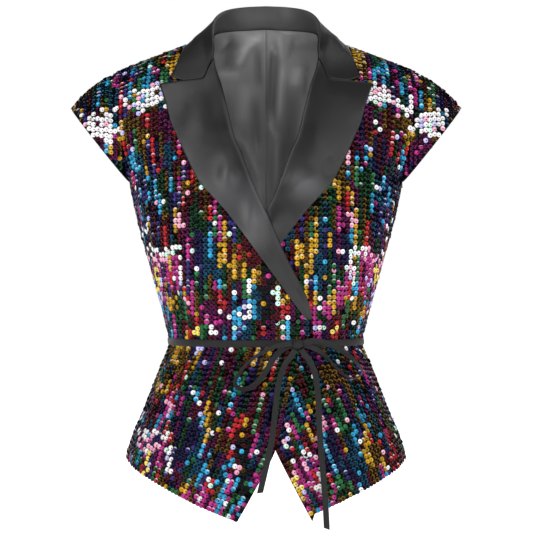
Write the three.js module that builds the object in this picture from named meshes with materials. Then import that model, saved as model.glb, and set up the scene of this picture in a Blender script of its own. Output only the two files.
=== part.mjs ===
// Sequinned wrap waistcoat with cap sleeves, satin collar and lapels, and a ribbon belt tied in a bow.
// Millimetres, +Z up, front towards -Y, wearer's left towards +X. The origin lies between the shoulder
// and neck points of the two shoulders, where the wearer carries the garment.
import * as THREE from 'three';

// Cloth thicknesses and the clearance between neighbouring pieces
const PANEL = 1.8;
const LINING = 1.0;
const SATIN = 1.7;
const RIBBON = 1.2;
const SEAM = 0.3;
// Height at which satin lies over the sequinned cloth
const LAY = 1.1;

// Levels of the pattern
const NECK_POINT = { x: 75, z: 2 };
const NECK_RISE = 16;
const SHOULDER_TIP_Z = -54;
const UNDERARM_Z = -203;
const ARMHOLE_SET = 60;
const WAIST_Z = -428;
const SIDE_HEM_Z = -591;
const BACK_HEM_Z = -579;
const LINING_SHORTER = 12;
const LINING_GAP = 1.6;
const LINING_HANG = 3.2;

// The right front laps over the left one, clear of the left lapel under it
const LAP_LIFT = 5.9;

// Collar: roll radius, and how far a roll reaches past the cut edge under it
const ROLL = 2.3;

const BELT_WIDTH = 9;
const BELT_GAP = 1.2;
const TAIL_WIDTH = 7.5;
const LOOP_WIDTH = 7.5;
const KNOT = { x: 43, z: -428, width: 15, height: 13, depth: 10 };

// Half width of the body at its side, shoulder ridge or armhole, by height
const SIDES = [
  { z: 18, x: 75 }, { z: 2, x: 75 }, { z: -15, x: 118 }, { z: -30, x: 157 }, { z: -45, x: 195 },
  { z: -54, x: 213 }, { z: -82, x: 210.5 }, { z: -109, x: 206 }, { z: -145, x: 198 },
  { z: -203, x: 190.5 }, { z: -258, x: 179 }, { z: -314, x: 163.5 }, { z: -371, x: 148 },
  { z: -408, x: 138 }, { z: -421, x: 135 }, { z: -435, x: 135 }, { z: -447, x: 139.5 },
  { z: -470, x: 149.5 }, { z: -526, x: 171.5 }, { z: -560, x: 186 }, { z: -591, x: 195 },
  { z: -680, x: 206 },
];

// Depth of the front and back from the side plane, and how square the section is, by height
const DEPTHS = [
  { z: 18, front: 0.6, back: 72, power: 2 },
  { z: 2, front: 0.6, back: 74, power: 2 },
  { z: -15, front: 34, back: 77, power: 2 },
  { z: -34, front: 54, back: 82, power: 2.05 },
  { z: -60, front: 68, back: 88, power: 2.1 },
  { z: -100, front: 82, back: 95, power: 2.2 },
  { z: -150, front: 97, back: 103, power: 2.25 },
  { z: -206, front: 112, back: 108, power: 2.35 },
  { z: -281, front: 127, back: 105, power: 2.4 },
  { z: -350, front: 117, back: 98, power: 2.35 },
  { z: -421, front: 100, back: 92, power: 2.25 },
  { z: -435, front: 100, back: 92, power: 2.25 },
  { z: -500, front: 114, back: 113, power: 2.25 },
  { z: -591, front: 130, back: 135, power: 2.25 },
  { z: -680, front: 141, back: 146, power: 2.25 },
];

// Rows of the panels below the underarm: heights at the side seam and at the front edge
const LOWER_ROWS = [
  { side: -222, edge: -210 }, { side: -242, edge: -232 }, { side: -264, edge: -255 },
  { side: -288, edge: -280 }, { side: -312, edge: -306 }, { side: -336, edge: -331 },
  { side: -358, edge: -355 }, { side: -378, edge: -376 }, { side: -395, edge: -393 },
  { side: -409, edge: -408 }, { side: -421, edge: -421 }, { side: -435, edge: -435 },
  { side: -449, edge: -451 }, { side: -466, edge: -472 }, { side: -486, edge: -498 },
  { side: -508, edge: -528 }, { side: -532, edge: -562 }, { side: -560, edge: -608 },
  { side: -591, edge: -664 },
];
const ARMHOLE_ROWS = 12;
const EDGE_AT_UNDERARM = -190;

// Front edge and roll line of each front: distance from the centre towards its own side, by height
const NECK_AND_ROLL = [
  { z: 2, s: 75 }, { z: -12, s: 74 }, { z: -34, s: 74 }, { z: -80, s: 62 }, { z: -116, s: 53 },
  { z: -145, s: 46 }, { z: -166, s: 37 }, { z: -196, s: 26 }, { z: -222, s: 16 }, { z: -248, s: 4 },
  { z: -294, s: -17 }, { z: -392, s: -59 }, { z: -404, s: -60 },
];
const RIGHT_EDGE = [
  ...NECK_AND_ROLL,
  { z: -420, s: -54 }, { z: -439, s: -44 }, { z: -490, s: -32 }, { z: -530, s: -23 },
  { z: -568, s: -13 }, { z: -619, s: 13 }, { z: -664, s: 38 },
];
const LEFT_EDGE = [
  ...NECK_AND_ROLL,
  { z: -420, s: -53 }, { z: -440, s: -41 }, { z: -505, s: -14 }, { z: -570, s: 13 },
  { z: -619, s: 38 }, { z: -664, s: 62 },
];

// Front hem, from the point up to the side seam
const FRONT_HEM = [
  { s: 0, z: -676 }, { s: 38, z: -664 }, { s: 70, z: -652 }, { s: 113, z: -634 },
  { s: 151, z: -616 }, { s: 182, z: -600 }, { s: 195, z: -591 },
];

// Lapel: its outer edge from the peak to the waist, and its top edge from the roll to the peak
const LAPEL_OUTER = [
  { z: -73, s: 146 }, { z: -99, s: 137 }, { z: -126, s: 129.5 }, { z: -152, s: 118 },
  { z: -180, s: 105 }, { z: -211, s: 88 }, { z: -233, s: 68 }, { z: -251, s: 52 },
  { z: -315, s: 3 }, { z: -395, s: -54.5 },
];
const LAPEL_TOP = [
  { u: 0, s: 73.6, z: -39.6 }, { u: 0.12, s: 79, z: -51.2 }, { u: 0.25, s: 86.2, z: -65.8 },
  { u: 0.42, s: 98.5, z: -67.7 }, { u: 0.6, s: 113, z: -68.9 }, { u: 0.8, s: 129, z: -70.8 },
  { u: 1, s: 146, z: -73 },
];
const LAPEL_END_Z = -393;
const LAPEL_ROWS = 20;

// Soft gathers pressed in at the belt: angle round the body, height of the fold (a trough is
// negative), its width, and how far it runs above and below the waist
const GATHERS = [
  { face: -1, angle: -64, height: 2.4, width: 7, above: 60, below: 110 },
  { face: -1, angle: -50, height: -2.6, width: 7, above: 90, below: 150 },
  { face: -1, angle: -38, height: 3.0, width: 7, above: 110, below: 130 },
  { face: -1, angle: -25, height: -2.8, width: 6.5, above: 80, below: 190 },
  { face: -1, angle: -14, height: 2.6, width: 6.5, above: 70, below: 170 },
  { face: -1, angle: -3, height: -3.2, width: 6.5, above: 110, below: 90 },
  { face: -1, angle: 10, height: 2.4, width: 6.5, above: 90, below: 120 },
  { face: -1, angle: 22, height: -2.6, width: 6.5, above: 70, below: 140 },
  { face: -1, angle: 35, height: 3.0, width: 7, above: 120, below: 160 },
  { face: -1, angle: 49, height: -2.6, width: 7, above: 80, below: 120 },
  { face: -1, angle: 63, height: 2.4, width: 7, above: 100, below: 90 },
  { face: 1, angle: -58, height: 2.6, width: 7, above: 80, below: 120 },
  { face: 1, angle: -40, height: -3.0, width: 7, above: 120, below: 150 },
  { face: 1, angle: -23, height: 3.2, width: 7, above: 90, below: 170 },
  { face: 1, angle: -7, height: -2.8, width: 6.5, above: 130, below: 120 },
  { face: 1, angle: 11, height: 3.0, width: 7, above: 80, below: 150 },
  { face: 1, angle: 28, height: -3.0, width: 7, above: 110, below: 170 },
  { face: 1, angle: 45, height: 2.8, width: 7, above: 70, below: 110 },
  { face: 1, angle: 61, height: -2.4, width: 7, above: 90, below: 140 },
];
const GATHER_PRESSED = 8;
const GATHER_FADE = 30;

// Cap sleeve hem: a ring in a slanted plane through the sleeve's tip and the underarm
const CUFF = {
  centre: new THREE.Vector3(233, 0, -153.5),
  along: new THREE.Vector3(0.62, 0, 0.78).normalize(),
  reach: 65,
  halfDepth: 63,
};
const SLEEVE_RINGS = 5;
const SLEEVE_CROWN = 5;

// Collar, from the centre back (0) over the neck point (5) to the gorge (10). The fold is the top of
// the roll. The fall ends on the body, at an angle counted from the centre back and a height.
const COLLAR = [
  { at: 0, foldX: 0, foldY: 76, foldZ: 54, turn: 0, z: -3 },
  { at: 1, foldX: 26, foldY: 73, foldZ: 52.5, turn: 20, z: -3.2 },
  { at: 2, foldX: 47, foldY: 61, foldZ: 48.5, turn: 40, z: -4.5 },
  { at: 3, foldX: 61, foldY: 44, foldZ: 42, turn: 57, z: -7 },
  { at: 4, foldX: 70, foldY: 24, foldZ: 32, turn: 74, z: -10 },
  { at: 5, foldX: 75, foldY: 4, foldZ: 20, turn: 103, z: -14 },
  { at: 6, foldX: 76, foldY: -14, foldZ: 7, turn: 124, z: -23 },
  { at: 7, foldX: 75.5, foldY: -28, foldZ: -6, turn: 136.5, z: -36 },
  { at: 8, foldX: 74.8, foldY: -38, foldZ: -18, turn: 143, z: -48 },
  { at: 9, foldX: 74.2, foldY: -47, foldZ: -29, turn: 145.5, z: -56.5 },
  { at: 10, foldX: 73.6, foldY: -54, foldZ: -38, turn: 146.8, z: -63 },
];
const NECK_SEAM = [
  { at: 5, z: 2 }, { at: 6, z: -9 }, { at: 7, z: -17 }, { at: 8, z: -25 }, { at: 9, z: -32 },
  { at: 10, z: -38.4 },
];
const COLLAR_STATIONS = 17;
const COLLAR_END = 10;

// End of the collar's fall, along the gorge seam and up the notch to its corner
const GORGE = [
  { t: 0, s: 74, z: -38.6 }, { t: 0.15, s: 79.5, z: -50.2 }, { t: 0.3, s: 86.7, z: -65 },
  { t: 0.45, s: 98.5, z: -67 }, { t: 0.65, s: 113, z: -68.1 }, { t: 0.82, s: 121.5, z: -65.5 },
  { t: 1, s: 130.5, z: -62.5 },
];

// Bow, as points in front of the body: x, y and z, then how far the ribbon turns on edge (degrees)
const LEFT_LOOP = [
  { x: 35.2, y: -114, z: -427, turn: 8 }, { x: 14, y: -119.5, z: -430.5, turn: 35 },
  { x: -7, y: -124, z: -440, turn: 52 }, { x: -26, y: -126, z: -454, turn: 58 },
  { x: -38, y: -126, z: -470, turn: 60 }, { x: -42, y: -125, z: -480, turn: 60 },
  { x: -37, y: -123, z: -487, turn: 50 }, { x: -25.5, y: -121, z: -488, turn: 35 },
  { x: -12, y: -119, z: -480, turn: 20 }, { x: 1, y: -117.5, z: -463, turn: 12 },
  { x: 11, y: -115.5, z: -447, turn: 12 }, { x: 22, y: -112.5, z: -435.5, turn: 12 },
  { x: 35.2, y: -110, z: -429.5, turn: 8 },
];
const RIGHT_LOOP = [
  { x: 50.8, y: -113.5, z: -426.5, turn: 8 }, { x: 63, y: -115.5, z: -424, turn: 6 },
  { x: 79, y: -115, z: -426, turn: 5 }, { x: 96, y: -114, z: -433, turn: 12 },
  { x: 112, y: -110, z: -444, turn: 25 }, { x: 125, y: -104, z: -457, turn: 45 },
  { x: 130, y: -100, z: -465, turn: 62 }, { x: 128, y: -97, z: -471, turn: 70 },
  { x: 120, y: -96, z: -475, turn: 72 }, { x: 110, y: -98, z: -473, turn: 72 },
  { x: 97, y: -102, z: -462, turn: 72 }, { x: 86, y: -105, z: -450, turn: 68 },
  { x: 73, y: -108.5, z: -438, turn: 45 }, { x: 62, y: -109.5, z: -432.5, turn: 20 },
  { x: 50.8, y: -109.8, z: -429, turn: 8 },
];

// Free tails, as points on the front: x and z
const LEFT_TAIL = [
  { x: 38.6, z: -435.4 }, { x: 36.5, z: -441 }, { x: 32, z: -447 }, { x: 26, z: -455 }, { x: 20, z: -470 },
  { x: 15.5, z: -490 }, { x: 12.5, z: -516 }, { x: 9.5, z: -544 }, { x: 3.5, z: -576 },
  { x: -3, z: -604 }, { x: -8, z: -625 },
];
const RIGHT_TAIL = [
  { x: 47.6, z: -435.4 }, { x: 51, z: -441 }, { x: 58.5, z: -450 }, { x: 66, z: -468 },
  { x: 70, z: -497 }, { x: 72, z: -545 }, { x: 75.5, z: -590 }, { x: 79, z: -635 },
  { x: 81, z: -673 },
];
const TAIL_START_Y = -111.5;
const TAIL_STAND_OFF = 4.5;

const { abs, asin, atan2, cos, exp, max, min, sign, sin, sqrt, PI } = Math;
const DEGREE = PI / 180;
const RIGHT_ANGLE = PI / 2;
const vector = (x, y, z) => new THREE.Vector3(x, y, z);
const mix = (a, b, t) => a + (b - a) * t;
const clamp = (t, low, high) => min(max(t, low), high);
const signedPower = (t, power) => sign(t) * abs(t) ** power;

function smooth(from, to, value) {
  const t = clamp((value - from) / (to - from), 0, 1);
  return t * t * (3 - 2 * t);
}

// A smooth curve through a table's rows that never overshoots between them
function through(table, inName, outName) {
  const rows = [...table].sort((a, b) => a[inName] - b[inName]);
  const xs = rows.map((row) => row[inName]);
  const ys = rows.map((row) => row[outName]);
  const rises = xs.slice(1).map((x, i) => (ys[i + 1] - ys[i]) / (x - xs[i]));
  const slopes = xs.map((x, i) => {
    if (i === 0) return rises[0];
    if (i === rises.length) return rises[i - 1];
    if (rises[i - 1] * rises[i] <= 0) return 0;
    return 2 / (1 / rises[i - 1] + 1 / rises[i]);
  });
  return (value) => {
    const x = clamp(value, xs[0], xs[xs.length - 1]);
    let i = 0;
    while (i < xs.length - 2 && x > xs[i + 1]) i += 1;
    const width = xs[i + 1] - xs[i];
    const t = (x - xs[i]) / width;
    const rest = 1 - t;
    return ys[i] * (1 + 2 * t) * rest * rest + slopes[i] * width * t * rest * rest
      + ys[i + 1] * t * t * (3 - 2 * t) - slopes[i + 1] * width * t * t * rest;
  };
}

const sideAt = through(SIDES, 'z', 'x');
const frontDepth = through(DEPTHS, 'z', 'front');
const backDepth = through(DEPTHS, 'z', 'back');
const squareness = through(DEPTHS, 'z', 'power');
const rightEdge = through(RIGHT_EDGE, 'z', 's');
const leftEdge = through(LEFT_EDGE, 'z', 's');
const lapelOuter = through(LAPEL_OUTER, 'z', 's');
const frontHem = through(FRONT_HEM, 's', 'z');

// The armhole runs in front of and behind the shoulder tip as half an ellipse
function armholeSet(z) {
  const middle = (SHOULDER_TIP_Z + UNDERARM_Z) / 2;
  const half = (SHOULDER_TIP_Z - UNDERARM_Z) / 2;
  return ARMHOLE_SET * sqrt(max(0, 1 - ((z - middle) / half) ** 2));
}

// One level of the body: face -1 is the front and +1 the back
function section(z, face) {
  const depth = face < 0 ? frontDepth(z) : backDepth(z);
  const power = squareness(z);
  const reach = sideAt(z) / (1 - (armholeSet(z) / depth) ** power) ** (1 / power);
  return { depth, power, reach };
}

// The outside of the body cloth, at an angle round it: 0 is the centre, a right angle the side
function formPoint(angle, z, face) {
  const { depth, power, reach } = section(z, face);
  return vector(
    reach * signedPower(sin(angle), 2 / power),
    face * depth * signedPower(cos(angle), 2 / power),
    z,
  );
}

function angleAt(x, z, face) {
  const { power, reach } = section(z, face);
  return asin(signedPower(clamp(x / reach, -1, 1), power / 2));
}

function formNormal(angle, z, face) {
  const turn = 0.004;
  const step = 0.5;
  const round = formPoint(angle + turn, z, face).sub(formPoint(angle - turn, z, face));
  const up = formPoint(angle, z + step, face).sub(formPoint(angle, z - step, face));
  return round.cross(up).multiplyScalar(-face).normalize();
}

// Height of the soft folds above the plain form
function gather(angle, z, face) {
  let height = 0;
  for (const fold of GATHERS) {
    if (fold.face !== face) continue;
    const run = z > WAIST_Z ? z - WAIST_Z : WAIST_Z - z;
    const length = z > WAIST_Z ? fold.above : fold.below;
    const rise = smooth(GATHER_PRESSED, GATHER_PRESSED + GATHER_FADE, run);
    const fade = 1 - smooth(length * 0.5, length, run);
    const across = (angle / DEGREE - fold.angle) / fold.width;
    height += fold.height * rise * fade * exp(-across * across);
  }
  return height;
}

function place(angle, z, face, offset) {
  const lifted = offset + gather(angle, z, face);
  return formPoint(angle, z, face).addScaledVector(formNormal(angle, z, face), lifted);
}

// How far the overlapping front stands off the form
function lapLift(x, z) {
  return LAP_LIFT * smooth(-150, -66, x) * smooth(-150, -240, z);
}

// Distance of a point outside the form, good near the surface
function radius(point) {
  const face = point.y < 0 ? -1 : 1;
  const { depth, power, reach } = section(point.z, face);
  return (abs(point.x / reach) ** power + abs(point.y / depth) ** power) ** (1 / power);
}

function heightOver(point) {
  const step = 0.25;
  const slope = vector(0, 0, 0);
  for (const axis of ['x', 'y', 'z']) {
    const ahead = point.clone();
    const behind = point.clone();
    ahead[axis] += step;
    behind[axis] -= step;
    slope[axis] = (radius(ahead) - radius(behind)) / (2 * step);
  }
  const steepness = slope.length();
  return { height: (radius(point) - 1) / steepness, normal: slope.divideScalar(steepness) };
}

function pushClear(point, clearance) {
  for (let pass = 0; pass < 4; pass += 1) {
    const { height, normal } = heightOver(point);
    if (height >= clearance) break;
    point.addScaledVector(normal, clearance - height);
  }
  return point;
}

// A closed wall between two grids of points. A ring joins its last column to its first.
function wall(outer, inner, ring = false) {
  const rows = outer.length;
  const columns = outer[0].length;
  const spans = ring ? columns : columns - 1;
  const positions = [outer, inner].flat(2).flatMap((point) => [point.x, point.y, point.z]);
  const at = (layer, row, column) => (layer * rows + row) * columns + (column % columns);
  const index = [];
  const corner = (i) => vector(...positions.slice(3 * i, 3 * i + 3));
  const quad = (a, b, c, d) => {
    const splitFromA = corner(a).distanceTo(corner(c)) <= corner(b).distanceTo(corner(d));
    index.push(...(splitFromA ? [a, b, c, a, c, d] : [a, b, d, b, c, d]));
  };
  for (let row = 0; row < rows - 1; row += 1) {
    for (let column = 0; column < spans; column += 1) {
      const [r, c] = [row + 1, column + 1];
      quad(at(0, row, column), at(0, r, column), at(0, r, c), at(0, row, c));
      quad(at(1, row, column), at(1, row, c), at(1, r, c), at(1, r, column));
    }
    if (!ring) {
      quad(at(0, row, 0), at(1, row, 0), at(1, row + 1, 0), at(0, row + 1, 0));
      quad(at(0, row, spans), at(0, row + 1, spans), at(1, row + 1, spans), at(1, row, spans));
    }
  }
  const last = rows - 1;
  for (let column = 0; column < spans; column += 1) {
    const c = column + 1;
    quad(at(0, 0, column), at(0, 0, c), at(1, 0, c), at(1, 0, column));
    quad(at(0, last, column), at(1, last, column), at(1, last, c), at(0, last, c));
  }
  if (volume(positions, index) < 0) index.reverse();
  const geometry = new THREE.BufferGeometry();
  geometry.setAttribute('position', new THREE.Float32BufferAttribute(positions, 3));
  geometry.setIndex(index);
  geometry.computeVertexNormals();
  return geometry;
}

function volume(positions, index) {
  let total = 0;
  for (let i = 0; i < index.length; i += 3) {
    const [a, b, c] = [0, 1, 2].map((k) => vector(...positions.slice(3 * index[i + k], 3 * index[i + k] + 3)));
    total += a.dot(b.cross(c)) / 6;
  }
  return total;
}

// A point between two side edges of a panel, in angle and height, drawn towards the curves of its top
// and bottom edges by the given shares
function blend(u, v, edges, topShare, bottomShare) {
  const { top, bottom, inner, outer } = edges;
  return [0, 1].map((k) => mix(inner(v)[k], outer(v)[k], u)
    + topShare * (top(u)[k] - mix(top(0)[k], top(1)[k], u))
    + bottomShare * (bottom(u)[k] - mix(bottom(0)[k], bottom(1)[k], u)));
}

const ROWS = ARMHOLE_ROWS + LOWER_ROWS.length;

// Heights of one panel row at the side seam or armhole, and at the front edge
function rowLevels(row) {
  if (row > ARMHOLE_ROWS) return LOWER_ROWS[row - ARMHOLE_ROWS - 1];
  const t = row / ARMHOLE_ROWS;
  const side = mix(SHOULDER_TIP_Z, UNDERARM_Z, (1 - cos(PI * t)) / 2);
  return { side, edge: mix(NECK_POINT.z, EDGE_AT_UNDERARM, t ** 1.15) };
}

function sideEdge(v, face) {
  const { side } = rowLevels(v * ROWS);
  return [angleAt(sideAt(side), side, face), side];
}

function frontPanelPoint(side, u, row) {
  const edgeAt = side < 0 ? rightEdge : leftEdge;
  const inner = (v) => {
    const { edge } = rowLevels(Math.round(v * ROWS));
    return [angleAt(edgeAt(edge), edge, -1), edge];
  };
  const outer = (v) => sideEdge(Math.round(v * ROWS) / ROWS, -1);
  const top = (t) => [RIGHT_ANGLE, mix(NECK_POINT.z, SHOULDER_TIP_Z, t)];
  const bottom = (t) => {
    const [start, startZ] = inner(1);
    const angle = mix(start, RIGHT_ANGLE, t);
    let z = mix(startZ, SIDE_HEM_Z, t);
    for (let pass = 0; pass < 6; pass += 1) z = frontHem(formPoint(angle, z, -1).x);
    return [angle, t === 0 ? startZ : t === 1 ? SIDE_HEM_Z : z];
  };
  const [angle, z] = blend(u, row / ROWS, { top, bottom, inner, outer }, 0, (row / ROWS) ** 3);
  return [side * angle, z];
}

function frontPanel(side) {
  const columns = 16;
  const layer = (offset) => range(ROWS + 1).map((row) => range(columns + 1).map((column) => {
    const [angle, z] = frontPanelPoint(side, column / columns, row);
    const lift = side < 0 ? lapLift(formPoint(angle, z, -1).x, z) : 0;
    return place(angle, z, -1, offset + lift).add(vector(0, -SEAM / 2, 0));
  }));
  return wall(layer(0), layer(-PANEL));
}

const NECK_COLUMNS = 5;
const SHOULDER_COLUMNS = 6;
const BACK_COLUMNS = NECK_COLUMNS + SHOULDER_COLUMNS;

// Angle and height on the back for a column counted from the centre back
function backPanelPoint(column, row, shorten = 0) {
  const drop = (z) => z + shorten * clamp((z - NECK_POINT.z) / (SIDE_HEM_Z - NECK_POINT.z), 0, 1);
  const centre = () => {
    if (row <= ARMHOLE_ROWS) return [0, mix(NECK_POINT.z + NECK_RISE, UNDERARM_Z, row / ARMHOLE_ROWS)];
    const { side } = rowLevels(row);
    return [0, side + (BACK_HEM_Z - SIDE_HEM_Z) * smooth(-460, SIDE_HEM_Z, side)];
  };
  const outer = (v) => sideEdge(Math.round(v * ROWS) / ROWS, 1);
  const neckShare = NECK_COLUMNS / BACK_COLUMNS;
  const top = (t) => {
    if (t <= neckShare) {
      const angle = RIGHT_ANGLE * t / neckShare;
      return [angle, NECK_POINT.z + NECK_RISE * cos(angle)];
    }
    return [RIGHT_ANGLE, mix(NECK_POINT.z, SHOULDER_TIP_Z, (t - neckShare) / (1 - neckShare))];
  };
  const bottom = (t) => [RIGHT_ANGLE * t, mix(BACK_HEM_Z, SIDE_HEM_Z, t * t)];
  const edges = { top, bottom, inner: centre, outer };
  const topShare = max(0, 1 - row / 10) ** 1.5;
  const [angle, z] = blend(abs(column) / BACK_COLUMNS, row / ROWS, edges, topShare, (row / ROWS) ** 3);
  return [sign(column) * angle, drop(z)];
}

function backPanel() {
  const layer = (offset) => range(ROWS + 1).map((row) => range(2 * BACK_COLUMNS + 1).map((column) => {
    const [angle, z] = backPanelPoint(column - BACK_COLUMNS, row);
    return place(angle, z, 1, offset).add(vector(0, SEAM / 2, 0));
  }));
  return wall(layer(0), layer(-PANEL));
}

// Back lining, in two halves whose centre seam stands in as a small pleat at the neck. It hangs
// smooth, inside the gathers of the back.
function liningHalf(side) {
  const columns = [0, 0.6, ...range(BACK_COLUMNS).map((i) => i + 1)];
  const layer = (thickness) => range(ROWS + 1).map((row) => columns.map((column) => {
    const [angle, z] = backPanelPoint(column, row, LINING_SHORTER);
    const pleat = (0.6 + 3.4 * exp((z - NECK_POINT.z) / 90)) * exp(-((column / 0.8) ** 2));
    const inside = PANEL + LINING_GAP + LINING_HANG * smooth(-290, -350, z) + pleat + thickness;
    const point = formPoint(side * angle, z, 1).addScaledVector(formNormal(side * angle, z, 1), -inside);
    return point.add(vector(column === 0 ? side * SEAM / 2 : 0, SEAM / 2, 0));
  }));
  return wall(layer(0), layer(LINING));
}

// Lapel: the front's facing rolled over its edge and laid on the panel
function lapel(side) {
  const edgeAt = side < 0 ? rightEdge : leftEdge;
  const topColumn = through(LAPEL_TOP, 'u', 's');
  const topHeight = through(LAPEL_TOP, 'u', 'z');
  const inner = (v) => {
    const z = mix(LAPEL_TOP[0].z, LAPEL_END_Z, v);
    return [edgeAt(z), z];
  };
  const outer = (v) => {
    const z = mix(LAPEL_TOP[LAPEL_TOP.length - 1].z, LAPEL_END_Z - 2, v);
    return [lapelOuter(z), z];
  };
  const top = (u) => [topColumn(u), topHeight(u)];
  const bottom = (u) => [0, 1].map((k) => mix(inner(1)[k], outer(1)[k], u));
  const on = (u, v, offset) => {
    const [s, z] = blend(u, v, { top, bottom, inner, outer }, (1 - v) ** 2, v);
    const angle = side * angleAt(s, z, -1);
    const lift = side < 0 ? lapLift(side * s, z) : 0;
    return place(angle, z, -1, offset + lift).add(vector(0, -SEAM / 2, 0));
  };
  // The roll, as steps out from the panel and back from its edge
  const rollFace = [[-1.4, -2.7], [0.6, -2.9], [2.2, -1.9]];
  const rollUnder = [[-1.4, -1.0], [0.4, -1.1], [1.1, -0.4]];
  const rolled = (v, [out, back]) => {
    const edge = on(0, v, 0);
    const outward = on(0, v, 1).sub(edge);
    const [s, z] = inner(v);
    const angle = side * angleAt(s + 4, z, -1);
    const lift = side < 0 ? lapLift(side * s, z) : 0;
    const along = place(angle, z, -1, lift).add(vector(0, -SEAM / 2, 0)).sub(edge).normalize();
    return edge.addScaledVector(outward, out).addScaledVector(along, back);
  };
  const layer = (roll, offset) => range(LAPEL_ROWS + 1).map((row) => {
    const v = row / LAPEL_ROWS;
    return [...roll.map((step) => rolled(v, step)), ...LAPEL_TOP.map(({ u }) => on(u, v, offset))];
  });
  return wall(layer(rollFace, LAY + SATIN), layer(rollUnder, LAY));
}

// Points where a panel's armhole edge lies, from the shoulder tip to the underarm
function armholeEdge(side, face, offset) {
  return range(ARMHOLE_ROWS + 1).map((row) => {
    const [angle, z] = sideEdge(row / ROWS, face);
    return place(side * angle, z, face, offset).add(vector(0, face * SEAM / 2, 0));
  });
}

function ringOf(side, offset) {
  const front = armholeEdge(side, -1, offset);
  const back = armholeEdge(side, 1, offset);
  const ring = [...front, ...back.slice(1, -1).reverse()];
  ring[0] = front[0].clone().add(back[0]).multiplyScalar(0.5);
  ring[ARMHOLE_ROWS] = front[ARMHOLE_ROWS].clone().add(back[ARMHOLE_ROWS]).multiplyScalar(0.5);
  return ring;
}

// Cap sleeve: from the armhole seam out to a slanted hem
function sleeve(side) {
  const seamOuter = ringOf(side, 0);
  const seamInner = ringOf(side, -PANEL);
  const count = seamOuter.length;
  const away = seamOuter.map((point, i) => {
    const along = seamOuter[(i + 1) % count].clone().sub(seamOuter[(i + count - 1) % count]);
    const outward = point.clone().sub(seamInner[i]);
    const off = along.cross(outward).normalize();
    return off.x * side + off.z * 0.5 < 0 ? off.negate() : off;
  });
  const cuff = range(count).map((i) => {
    const turn = 2 * PI * i / count;
    const along = CUFF.along.clone().setX(side * CUFF.along.x);
    const centre = CUFF.centre.clone().setX(side * CUFF.centre.x);
    return centre.addScaledVector(along, CUFF.reach * cos(turn))
      .add(vector(0, -CUFF.halfDepth * sin(turn), 0));
  });
  const outer = range(SLEEVE_RINGS + 1).map((ring) => seamOuter.map((point, i) => {
    const t = ring / SLEEVE_RINGS;
    const start = point.clone().addScaledVector(away[i], SEAM + 0.05);
    const crown = SLEEVE_CROWN * 4 * t * (1 - t) * (1 + cos(2 * PI * i / count)) / 2;
    const out = point.clone().sub(seamInner[i]).normalize();
    return start.lerp(cuff[i], t).addScaledVector(out, crown);
  }));
  const inner = outer.map((points, ring) => points.map((point, i) => {
    if (ring === 0) return seamInner[i].clone().addScaledVector(away[i], SEAM + 0.05);
    const before = outer[ring - 1][i];
    const after = outer[min(ring + 1, SLEEVE_RINGS)][i];
    const across = points[(i + 1) % count].clone().sub(points[(i + count - 1) % count]);
    const normal = across.cross(after.clone().sub(before)).normalize();
    const centre = vector(side * 225, 0, -145);
    if (normal.dot(centre.sub(point)) < 0) normal.negate();
    return point.clone().addScaledVector(normal, PANEL);
  }));
  return wall(outer, inner, true);
}

const neckSeam = through(NECK_SEAM, 'at', 'z');
const collarColumn = Object.fromEntries(['foldX', 'foldY', 'foldZ', 'turn', 'z']
  .map((name) => [name, through(COLLAR, 'at', name)]));
const gorgeAcross = through(GORGE, 't', 's');
const gorgeHeight = through(GORGE, 't', 'z');

// Where the collar's stand sits: along the straight steps of the panels' own neck edges
function necklineAt(at) {
  const neckPoint = NECK_SEAM[0].at;
  if (at <= neckPoint) {
    const column = min(Math.floor(at * NECK_COLUMNS / neckPoint), NECK_COLUMNS - 1);
    const point = (i) => {
      const [angle, z] = backPanelPoint(i, 0);
      return formPoint(angle, z, 1).add(vector(0, SEAM / 2, 0));
    };
    return point(column).lerp(point(column + 1), at * NECK_COLUMNS / neckPoint - column);
  }
  const z = neckSeam(at);
  let row = 0;
  while (rowLevels(row + 1).edge > z) row += 1;
  const point = (i) => {
    const [angle, level] = frontPanelPoint(1, 0, i);
    return formPoint(angle, level, -1).add(vector(0, -SEAM / 2, 0));
  };
  const [high, low] = [rowLevels(row).edge, rowLevels(row + 1).edge];
  return point(row).lerp(point(row + 1), (z - high) / (low - high));
}

// A point on the body at an angle from the centre back, lifted off it
function onBody(turn, z, lift) {
  const face = turn < 90 ? 1 : -1;
  const angle = (turn < 90 ? turn : 180 - turn) * DEGREE;
  return formPoint(angle, z, face).add(vector(0, face * SEAM / 2, 0))
    .addScaledVector(formNormal(angle, z, face), lift);
}

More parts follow.
